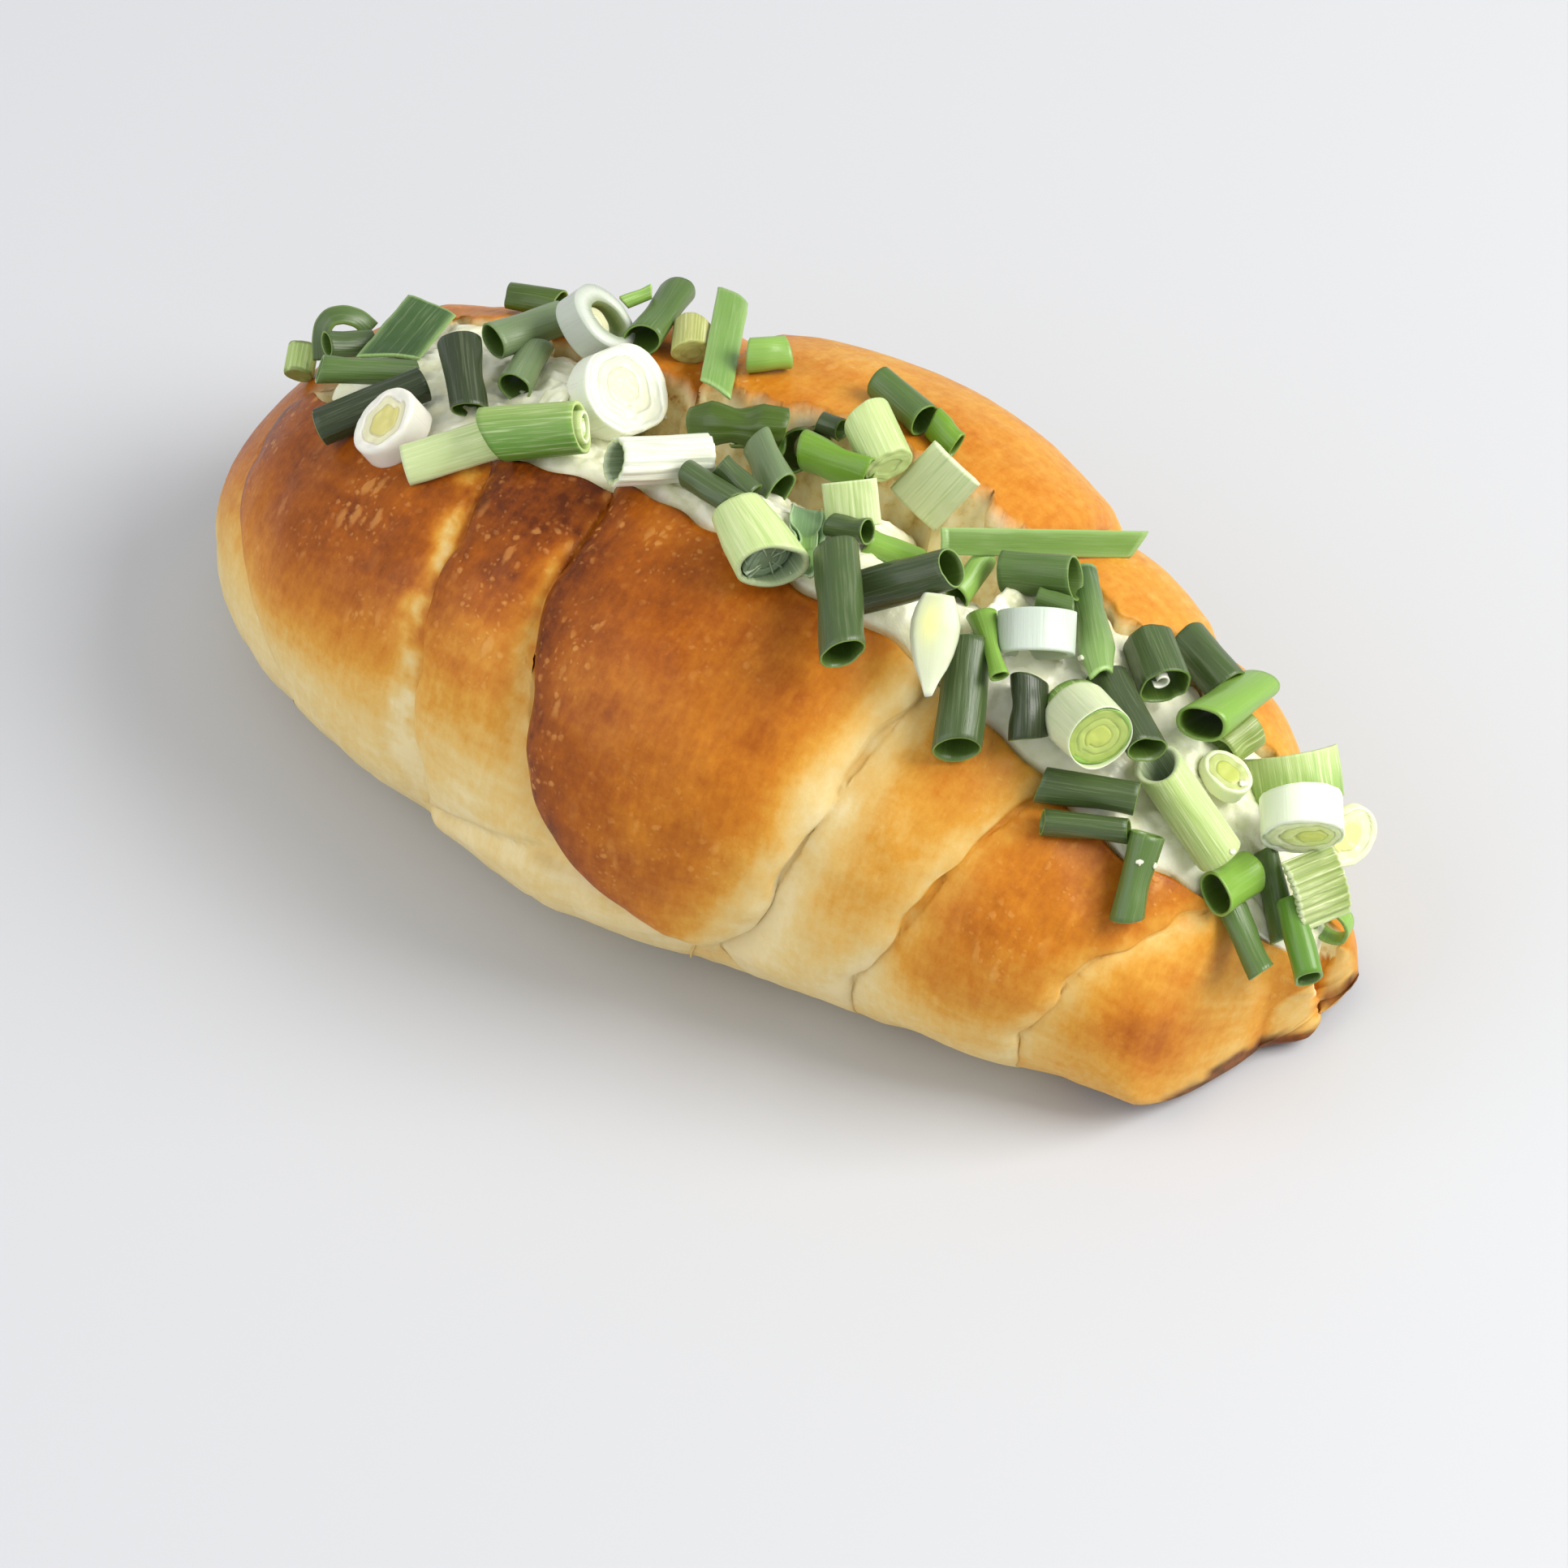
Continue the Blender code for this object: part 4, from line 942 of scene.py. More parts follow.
# colour masks
G = verts[:R * C].reshape(R, C, 3)
side_band = fade(12, 20, T) * (1 - fade(88, 104, T))
streak = fbm(np.stack([G[..., 0] * 0.45, T * 0.9, G[..., 2] * 0.25], -1), 2.6, 51, 3)
bake_and_highlight = BAKE_AND_HIGHLIGHT + 0.09 * fbm(G, 9.0, 41, 3)
# stretched, lighter dough just left of the creases
ragged = np.where(K == 1, np.exp(-((QR - 1.6 - 1.3 * noise(G, 3.5, 61)) / 2.2) ** 2), 0)
bake_and_highlight = bake_and_highlight - side_band * ragged * (0.34 + 0.34 * noise(G, 2.3, 63) + 0.14 * noise(G, 0.9, 64))
ragged2 = np.where(K == 2, np.exp(-(np.maximum(QR, 0) / 2.6) ** 2), 0) * (1 - fade(50, 80, T))
bake_and_highlight = bake_and_highlight - side_band * ragged2 * (0.25 + 0.35 * noise(G, 1.8, 65))
# the later creases lie in pale, stretched dough; by the middle turn's right rim (turns 3 and 4) the pale band is also a
# painted highlight
for kk, q_, wide_, much_ in ((3, QR, 3.4, 0.16), (4, QL, 3.6, 0.16), (4, QR, 2.2, 0.10), (5, QL, 2.4, 0.06), (5, QR, 2.0, 0.10), (6, QL, 2.2, 0.05)):
    near_ = np.where(K == kk, np.exp(-(np.maximum(q_, 0) / wide_) ** 2), 0)
    bake_and_highlight = bake_and_highlight - side_band * near_ * much_ * (1 + 0.8 * noise(G, 2.4, 67 + kk))
bake_and_highlight = bake_and_highlight + np.where(K == 2, 0.10 * streak, 0.05 * streak)
# per turn a little browner or paler on top; behind the cut the crust is lighter, partly a yellower crust, partly a
# painted highlight
bake_and_highlight = bake_and_highlight + np.select([K == 0, K == 1, K == 2, K == 3, K == 4, K >= 5], [0.05, 0.07, 0.05, -0.03, 0.0, 0.02]) * (1 - fade(60, 85, T)) - (0.06 + 0.07 * (K >= 4)) * (T < -10) + 0.03 * (K == 3) * np.exp(-(np.maximum(QL, 0) / 12.0) ** 2) * (T > 15) * (1 - fade(85, 100, T))
# the crease of the left cap
bake_and_highlight = bake_and_highlight + side_band * np.where(K == 1, 0.16 * np.exp(-(np.maximum(QL, 0) / 1.1) ** 2), 0) - side_band * (K == 0) * 0.08
# single browner and burnt places, and a painted highlight: the last turn paler towards the open end
F_spot = np.where(K == 6, bump_at(G[..., 0], T, 65.6, 68, 4.0, 12), 0)
bake_and_highlight = bake_and_highlight + 0.25 * F_spot - 0.16 * (K == 6) * fade(67, 71, G[..., 0]) * side_band
foot = (G[..., 2] < 3.2) * out
burn = out * fade(53, 60, G[..., 0]) * np.clip(0.9 + 0.9 * noise(G, 2.2, 71), 0, 1) * (1 - fade(1.8, 4.2, G[..., 2] + 1.2 * noise(G, 1.9, 72)))
burn += out * 0.95 * fade(68.0, 71.0, G[..., 0]) * (1 - fade(2.4, 4.8, G[..., 2] + 1.3 * noise(G, 1.8, 73)))
burn = np.clip(burn, 0, 0.92)
near_c = np.where(K == 3, np.exp(-(np.maximum(QL - 5, 0) / 9.0) ** 2), np.where(K == 2, 0.8, np.where(K == 1, 0.6, 0.35)))
fleck = out * np.clip(fade(0.30, 0.62, BAKE_AND_HIGHLIGHT) * (0.35 + 0.7 * near_c + 0.6 * fbm(G, 11.0, 81, 2)), 0, 1)
tip = fade(71.6, 73.0, G[..., 0])
bake_and_highlight = np.clip(bake_and_highlight * (1 - tip) + 0.55 * tip, 0, 1)
crumb = crumb * (1 - tip * (G[..., 2] < 9))
tail = np.zeros(1 + n_extra)
add_attr(bread.data, "bake_and_highlight", np.r_[bake_and_highlight.ravel(), tail + 0.3])
end_burn = np.r_[0.0, 0.95 * (1 - fade(2.4, 4.8, extra[:, 2] + 1.3 * noise(extra, 1.8, 73)))]
add_attr(bread.data, "burn", np.r_[burn.ravel(), end_burn])
add_attr(bread.data, "crumb", np.r_[crumb.ravel(), tail])
add_attr(bread.data, "fleck", np.r_[fleck.ravel(), tail])

# ============================================================ cream mesh
N_TOP, STEP_X = 76, 0.42
lipn, lipf, wl = g[:, 0], g[:, N_OUT - 1], g[:, N_OUT:]
xm = 0.5 * (lipn[:, 0] + lipf[:, 0])
order = np.argsort(xm)
xm, lipn, lipf, wl = xm[order], lipn[order], lipf[order], wl[order]
xs = np.arange(FILL_LEFT, FILL_RIGHT, STEP_X)


def across(a):
    return np.stack([np.interp(xs, xm, a[:, i]) for i in range(a.shape[1])], 1)


ln, lf = across(lipn), across(lipf)
ws = np.stack([across(wl[:, j]) for j in range(1, N_IN, 4)], 1)
v = np.linspace(0, 1, N_TOP)[1:-1]
rings_ = []
for i, x in enumerate(xs):
    w = ws[i]
    skip = int(round(0.5 + 0.9 * float(torn_at(x))))
    far = w[skip] + (lf[i] - w[0]) * 0.4 * (skip == 0)
    near = w[-1] + (ln[i] - w[-1]) * float(smooth(FILL, x, 1))
    u = np.vstack([far + (w[skip] - far) * q for q in np.linspace(0, 0.9, skip + 1)] + [w[skip:], near])
    ty, tz = np.gradient(u[:, 1]), np.gradient(u[:, 2])
    nn = np.maximum(np.hypot(ty, tz), 1e-9)
    u[:, 1] += tz / nn * 0.6
    u[:, 2] -= ty / nn * 0.6
    top = u[-1] + (u[0] - u[-1]) * v[:, None]
    crown = float(smooth(FILL, x, 3))
    lump = 0.6 * np.sin(x * 0.42 + 5 * v) + 0.5 * np.sin(x * 0.23 - 9 * v)
    top[:, 2] += crown * (4 * v * (1 - v)) ** 0.7 + lump * np.sin(np.pi * v)
    rings_.append(np.vstack([u, top]))
cg = np.array(rings_)
cg[..., 0] = xs[:, None]
NU = ws.shape[1] + 2
tops = cg[:, NU:]
edge = np.sin(np.pi * v)[None] ** 0.5
rough_ = 1.1 * np.abs(noise(tops, 4.2, 91)) + 0.8 * (0.5 - np.abs(noise(tops, 2.4, 93))) + 0.5 * np.abs(noise(tops, 1.3, 95)) + 0.2 * noise(tops, 0.8, 97)
tops[..., 2] += edge * (rough_ - 0.45)


def drawn(ring, k, dx):
    c = ring.mean(0)
    r = c + (ring - c) * k
    r[:, 0] = ring[:, 0] + dx
    return r


cg = np.concatenate([[drawn(cg[0], 0.5, -1.0)], [drawn(cg[0], 0.85, -0.5)], cg, [drawn(cg[-1], 0.88, 0.4)], [drawn(cg[-1], 0.55, 0.8)]])
R2, C2 = cg.shape[:2]
cf = [(i * C2 + j, i * C2 + (j + 1) % C2, (i + 1) * C2 + (j + 1) % C2, (i + 1) * C2 + j) for i in range(R2 - 1) for j in range(C2)]
cf += [tuple(range(C2)), tuple((R2 - 1) * C2 + j for j in range(C2))]
cream = mesh_object("cream_cheese_fine", cg.reshape(-1, 3), cf, cream_mat)
bm = bmesh.new()
bm.from_mesh(cream.data)
bmesh.ops.remove_doubles(bm, verts=bm.verts[:], dist=1e-7)
bmesh.ops.triangulate(bm, faces=[q for q in bm.faces if len(q.verts) > 4], ngon_method="EAR_CLIP")
bm.to_mesh(cream.data)
bm.free()
face_out(cream)


# ============================================================ scallions
def tree_of(ob):
    me = ob.data
    return BVHTree.FromPolygons([np.array(q.co) / MM for q in me.vertices], [p.vertices[:] for p in me.polygons])


trees = (tree_of(bread), tree_of(cream))
laid = place(trees, 0.15, 0.9, 0.0)


TONES = {k: lin(v) for k, v in {
    "deep": "#303B20", "dark": "#3E4C2A", "moss": "#475A2F", "leaf": "#567036", "grey": "#75885E", "sage": "#7E9A5C",
    "blue": "#536F52", "olive": "#465E14", "grass": "#5F8A2C", "lime": "#7FA840", "fresh": "#8CB352", "straw": "#B3B46A",
    "pale": "#AEC373", "paler": "#C3D48E", "milk": "#D9E3B4", "white": "#EDF0DC", "yellow": "#D9E078", "butter": "#E5E69A", "acid": "#6C9428", "dry": "#8B9C50", "frost": "#A3BA98",
}.items()}
# the tubes' inner wall colour is a darker painted shade of their hollows
RIM, HOLLOW_SHADE = lin("#86A552"), lin("#4A641F")
LOOK = {
    3: "moss", 5: "leaf", 6: "deep", 8: "deep", 13: "olive", 11: "grey", 12: "grey", 16: "leaf", 23: "moss", 22: "moss", 24: "grey",
    28: "dark", 30: "leaf", 36: "moss", 38: "moss", 39: "dark", 42: "leaf", 49: "moss", 50: "deep", 54: "moss", 53: "moss", 52: "dark",
    58: "moss", 59: "moss", 60: "leaf", 68: "leaf", 67: "leaf", 20: "fresh", 26: "moss", 27: "acid", 31: "acid", 37: "lime",
    40: "fresh", 43: "leaf", 47: "lime", 55: "lime", 69: "grass", 66: "lime", 25: "olive", 35: "lime",
    1: "pale", 17: "fresh", 10: "lime", 21: "white", 18: "straw", 33: "paler", 29: "paler", 34: "paler", 51: "fresh", 56: "dry", 62: "paler", 61: "milk",
    9: "paler", 32: "milk", 65: "dry",
}


class Heap:
    """Pieces of one look, joined into one mesh."""

    def __init__(self):
        self.v, self.f, self.st, self.col, self.vein = [], [], [], [], []
        self.n = 0

    def add(self, pts, quads, st, col, vein):
        self.v.append(pts)
        self.f += [tuple(i + self.n for i in q) for q in quads]
        self.st.append(st)
        self.col.append(col)
        self.vein.append(vein)
        self.n += len(pts)

    def build(self, name, mat):
        ob = mesh_object(name, np.vstack(self.v), self.f, mat)
        add_vec(ob.data, "st", np.vstack(self.st))
        add_col(ob.data, "tint", np.clip(np.vstack(self.col), 0, 1))
        add_attr(ob.data, "vein", np.concatenate(self.vein))
        face_out(ob)
        return ob


def between(a, b, w):
    w = np.asarray(w, float)[..., None]
    return np.asarray(a) * (1 - w) + np.asarray(b) * w


def ring_noise(phi, scale, seed):
    return noise(np.stack([np.cos(phi) * scale, np.sin(phi) * scale, np.full(len(phi), seed * 3.7)], 1), 1.0, 201 + seed)


def tube(heap, a, b, side, r, wall_, outer_c, seed, inner_c=None, rim_c=None, oval=0.0, flat=1.0, bend=0.0, slant=(0.0, 0.0), cut=None,
         prof=(1.0, 1.0), vein=1.0, around=None, n=46, m=18, lumps=0.06, ridges=0.0, press=0.0, dents=(), flutes=(0, 0.0), ecc=None):
    """An open tube with a real wall: outside, rim, inside, rim, one closed body.
    b is the end that shows."""
    d = b - a
    length = np.linalg.norm(d)
    d = d / length
    third = np.cross(d, side)
    phi = np.linspace(0, 2 * np.pi, n, endpoint=False)
    inner_c = HOLLOW_SHADE if inner_c is None else inner_c
    rim_c = RIM if rim_c is None else rim_c
    s = np.linspace(0, 1, m)
    rows_ = [(q, 0.0, 0.0, 0) for q in s] + [(1.0, wall_ * 0.5, 0.10, 1)] + [(q, wall_, 0.0, 2) for q in s[::-1]] + [(0.0, wall_ * 0.5, -0.10, 1)]
    pts, st, col, vn = [], [], [], []
    cut = seed * 1.3 if cut is None else cut
    # the width across the axis stays what it is, however the tube is pressed
    hold = 1 / math.sqrt(math.cos(press) ** 2 + (flat * math.sin(press)) ** 2)
    for q, thin, push, part in rows_:
        wob = ring_noise(phi, 1.3, seed) * (1 - q) + ring_noise(phi, 1.3, seed + 7) * q
        rid = ring_noise(phi, 3.4, seed + 3)
        rr = r * np.interp(q, np.linspace(0, 1, len(prof)), prof) * (1 + oval * np.cos(2 * phi + seed) + lumps * wob + ridges * rid + flutes[1] * np.cos(flutes[0] * phi + 2.0 * q)) - thin
        for p0, q0, wp, wq, deep in dents:
            dp = (phi - p0 + np.pi) % (2 * np.pi) - np.pi
            rr = rr - r * deep * np.exp(-(dp / wp) ** 2 - ((q - q0) / wq) ** 2)
        fq = flat + (1 - flat) * 0.35 * math.sin(seed + 3.0 * q)
        cx, cy = np.cos(phi) * rr, np.sin(phi) * rr
        ex, ey = cx * math.cos(press) + cy * math.sin(press), (-cx * math.sin(press) + cy * math.cos(press)) * fq
        cx, cy = (ex * math.cos(press) - ey * math.sin(press)) * hold, (ex * math.sin(press) + ey * math.cos(press)) * hold
        along = q * length + push + (slant[0] * (1 - q) + slant[1] * q) * np.cos(phi - cut)
        c = a + d * along[:, None] + third * (bend * 4 * q * (1 - q))
        if ecc is not None:
            c = c + (ecc - d * (ecc @ d)) * (thin / wall_)
        pts.append(c + side * cx[:, None] + third * cy[:, None])
        st.append(np.stack([phi * r, np.full(n, q * length), np.full(n, seed * 13.1)], 1))
        if part == 0:
            c0 = np.tile(outer_c, (n, 1))
            if around is not None:
                c0 = between(outer_c, around[0], 0.5 + 0.5 * np.cos(phi - around[1]))
            col.append(c0 * (1 + 0.10 * wob[:, None]))
            vn.append(np.full(n, vein))
        elif part == 1:
            col.append(np.tile(rim_c, (n, 1)))
            vn.append(np.zeros(n))
        else:
            # painted shade: the inner wall darkens away from the rims, deep in the hollow
            near = min(q, 1 - q) * length
            w = math.exp(-near / 0.8) * 0.6
            col.append(np.tile(between(inner_c, between(outer_c, rim_c, 0.4), w), (n, 1)))
            vn.append(np.full(n, vein * 0.6))
    k = len(rows_)
    quads = [(i * n + j, i * n + (j + 1) % n, ((i + 1) % k) * n + (j + 1) % n, ((i + 1) % k) * n + j) for i in range(k) for j in range(n)]
    heap.add(np.vstack(pts), quads, np.vstack(st), np.vstack(col), np.concatenate(vn))


def stalk(heap, a, b, side, r, skin_c, seed, layers, oval=0.0, flat=1.0, slant=(0.0, 0.0), shift=(0.0, 0.0), groove=0.22, spiral=0.0,
          vein=1.0, n=56, m=10, lumps=0.04, round_=0.16):
    """A cut stalk: its skin, and two faces with the layers of the stalk."""
    d = b - a
    length = np.linalg.norm(d)
    d = d / length
    third = np.cross(d, side)
    phi = np.linspace(0, 2 * np.pi, n, endpoint=False)
    wob = ring_noise(phi, 1.3, seed)
    shape = r * (1 + oval * np.cos(2 * phi + seed) + lumps * wob)
    bounds = [q[0] for q in layers]
    rho = np.r_[np.linspace(0.04, 0.9, 24), 0.95, 0.985]
    rows_ = [("A", q) for q in rho] + [("S", q) for q in np.linspace(0, 1, m)] + [("B", q) for q in rho[::-1]]
    pts, st, col, vn = [], [], [], []
    wander = 1 + 0.10 * ring_noise(phi, 1.1, seed + 11) + 0.05 * ring_noise(phi, 2.6, seed + 13)
    for part, q in rows_:
        if part == "S":
            along = np.full(n, round_ + (length - 2 * round_) * q)
            k = np.ones(n)
            cc = np.tile(skin_c, (n, 1)) * (1 + 0.07 * wob[:, None])
            vv = np.full(n, vein)
            qq = q
        else:
            k = np.full(n, q)
            look = q * wander - spiral * phi / (2 * np.pi)
            h = np.zeros(n)
            cc = np.tile(np.asarray(layers[-1][1]), (n, 1))
            for i, (bd, lc) in enumerate(reversed(layers)):
                w = fade(bd - 0.03, bd + 0.03, look)
                outer_layer = layers[len(layers) - 2 - i][1] if len(layers) - 2 - i >= 0 else skin_c
                cc = cc * (1 - w[:, None]) + np.asarray(outer_layer) * w[:, None]
                line = np.exp(-((look - bd) / 0.022) ** 2)
                h -= groove * line
                h += (0.14 * math.sin(seed * 2.1 + i * 2.7)) * (1 - w)
                cc = cc * (1 - 0.30 * line[:, None])
                light = np.exp(-((look - bd - 0.045) / 0.02) ** 2)
                cc = cc * (1 + 0.10 * light[:, None])
            h += 0.10 * noise(np.stack([np.cos(phi) * q * r, np.sin(phi) * q * r, np.full(n, seed * 1.9)], 1), 0.9, 401 + seed)
            edge = round_ * (1 - math.sqrt(max(0.0, 1 - max(0.0, (q - 0.9) / 0.1) ** 2)))
            along = (-h + edge) if part == "A" else (length + h - edge)
            vv = np.zeros(n)
            qq = 0.0 if part == "A" else 1.0
        along = along + (slant[0] * (1 - qq) + slant[1] * qq) * np.cos(phi - seed) * k
        off = (1 - k) * r
        cx = np.cos(phi) * shape * k + shift[0] * off
        cy = (np.sin(phi) * shape * k + shift[1] * off) * flat
        pts.append(a + d * along[:, None] + side * cx[:, None] + third * cy[:, None])
        st.append(np.stack([phi * r, along, np.full(n, seed * 13.1)], 1))
        col.append(cc)
        vn.append(vv)
    k = len(rows_)
    quads = [(i * n + j, i * n + (j + 1) % n, (i + 1) * n + (j + 1) % n, (i + 1) * n + j) for i in range(k - 1) for j in range(n)]
    allp = np.vstack(pts)
    c0, c1 = allp[:n].mean(0), allp[-n:].mean(0)
    e = len(allp)
    quads += [((j + 1) % n, j, e) for j in range(n)] + [((k - 1) * n + j, (k - 1) * n + (j + 1) % n, e + 1) for j in range(n)]
    allc = np.vstack(col)
    heap.add(np.vstack([allp, c0, c1]), quads, np.vstack(st + [np.zeros((2, 3))]), np.vstack([allc, allc[:1], allc[-1:]]), np.r_[np.concatenate(vn), 0, 0])


def sheet(heap, a, b, side, curve, thick, col0, col1, edge_c, seed, vein=1.0, m=18, wave=0.2, widths=(1.0, 1.0), bow=0.0, cut=(0.0, 0.0), core=None, curl=0.0):
    """A leaf strip: a curve across it, drawn along it, with a real thickness.
    cut skews its two ends."""
    d = b - a
    length = np.linalg.norm(d)
    d = d / length
    third = np.cross(d, side)
    cv = np.asarray(curve, float)
    tg = np.gradient(cv, axis=0)
    nm = np.stack([-tg[:, 1], tg[:, 0]], 1)
    nm = nm / np.maximum(np.linalg.norm(nm, axis=1, keepdims=True), 1e-9)
    arc = np.r_[0, np.cumsum(np.linalg.norm(np.diff(cv, axis=0), axis=1))]
    rel = (arc / arc[-1] - 0.5) * 2
    n = len(cv)
    pts, st, col, vn = [], [], [], []
    for q in np.linspace(0, 1, m):
        w = np.interp(q, np.linspace(0, 1, len(widths)), widths)
        up = cv * w
        ripple = wave * (noise(np.stack([arc, np.full(n, q * length), np.full(n, seed * 5.3)], 1), 3.0, 301 + seed) + 0.5 * noise(np.stack([arc, np.full(n, q * length), np.full(n, seed * 5.3)], 1), 1.4, 303 + seed))
        th = thick / 2 * np.minimum(1.0, 0.35 + 3 * np.minimum(1 - np.abs(rel), 1.0))
        hi_ = up + nm * (th + ripple)[:, None]
        lo_ = up - nm * (th - ripple)[:, None]
        ring = np.vstack([hi_, lo_[::-1]])
        skew = np.r_[rel, rel[::-1]] * (cut[0] * (1 - q) + cut[1] * q)
        c = a + third * (bow * 4 * q * (1 - q) + curl * q * q)
        pts.append(c + d * (q * length + skew)[:, None] + side * ring[:, :1] + third * ring[:, 1:])
        st.append(np.stack([np.r_[arc, arc[::-1]], np.full(2 * n, q * length), np.full(2 * n, seed * 13.1)], 1))
        e = np.r_[np.minimum(arc, arc[-1] - arc), np.minimum(arc, arc[-1] - arc)[::-1]] * w
        we = np.exp(-e / 0.3) * 0.8
        cc = np.asarray(col0) * (1 - q) + np.asarray(col1) * q
        cc = between(cc, edge_c, np.maximum(we, 0.8 * (q in (0.0, 1.0))))
        if core is not None:
            q0, w0, r0, rc, kc = core
            near = np.exp(-((q - q0) / w0) ** 2 - ((np.r_[rel, rel[::-1]] - r0) / rc) ** 2)
            cc = cc * (1 - near[:, None]) + np.asarray(kc) * near[:, None]
        col.append(cc)
        vn.append(np.full(2 * n, vein))
    k = 2 * n
    quads = [(i * k + j, i * k + (j + 1) % k, (i + 1) * k + (j + 1) % k, (i + 1) * k + j) for i in range(m - 1) for j in range(k)]
    for o in (0, (m - 1) * k):
        quads += [(o + j, o + j + 1, o + k - 2 - j, o + k - 1 - j) for j in range(n - 1)]
    heap.add(np.vstack(pts), quads, np.vstack(st), np.vstack(col), np.concatenate(vn))


def ribbon(heap, centre, path, wide, col0, col1, edge_c, seed):
    """A narrow leaf strip that arches along points given in the picture, at the
    depth of `centre`."""
    pts2 = np.array(path, float)
    t0 = np.linspace(0, 1, len(pts2))
    t1 = np.linspace(0, 1, 34)
    uu, vv = (np.interp(t1, t0, pts2[:, i]) for i in (0, 1))
    for _ in range(3):
        uu[1:-1] = 0.25 * uu[:-2] + 0.5 * uu[1:-1] + 0.25 * uu[2:]
        vv[1:-1] = 0.25 * vv[:-2] + 0.5 * vv[1:-1] + 0.25 * vv[2:]
    depth = float((EYE - centre) @ BACK)
    line = np.array([EYE + towards(p_, q_) * depth / float(-towards(p_, q_) @ BACK) for p_, q_ in zip(uu, vv)])
    line = line + BACK * (1.4 * np.sin(np.pi * t1))[:, None]
    tg = np.gradient(line, axis=0)
    tg = tg / np.linalg.norm(tg, axis=1, keepdims=True)
    wide_dir = np.cross(tg, BACK) + BACK * 0.5
    wide_dir = wide_dir / np.linalg.norm(wide_dir, axis=1, keepdims=True)
    nrm_ = np.cross(wide_dir, tg)
    rel = np.linspace(-1, 1, 9)
    h = wide * UNIT / 2
    sec = np.vstack([np.stack([rel * h, 0.25 * (1 - rel ** 2) + 0.2], 1), np.stack([rel[::-1] * h, 0.25 * (1 - rel ** 2) - 0.2], 1)])
    k = len(sec)
    P = line[:, None] + wide_dir[:, None] * sec[None, :, :1] + nrm_[:, None] * sec[None, :, 1:]
    quads = [(i * k + j, i * k + (j + 1) % k, (i + 1) * k + (j + 1) % k, (i + 1) * k + j) for i in range(len(line) - 1) for j in range(k)]
    half = len(rel)
    for o_ in (0, (len(line) - 1) * k):
        quads += [(o_ + j, o_ + j + 1, o_ + k - 2 - j, o_ + k - 1 - j) for j in range(half - 1)]
    rr_ = np.r_[rel, rel[::-1]]
    cols = [between(between(col0, col1, q_), edge_c, np.where(np.abs(rr_) > 0.95, 0.6, 0.0)) for q_ in t1]
    st = np.stack([np.tile(rr_ * h, len(line)), np.repeat(t1 * 12, k), np.full(k * len(line), seed * 13.1)], 1)
    heap.add(P.reshape(-1, 3), quads, st, np.vstack(cols), np.full(k * len(line), 0.7))


def curl_of(r, a0, a1, n=30, squeeze=1.0, grow=0.0):
    w = np.linspace(a0, a1, n)
    rr = r * (1 + grow * np.linspace(-0.5, 0.5, n))
    return np.stack([np.cos(w) * rr, np.sin(w) * rr * squeeze], 1)


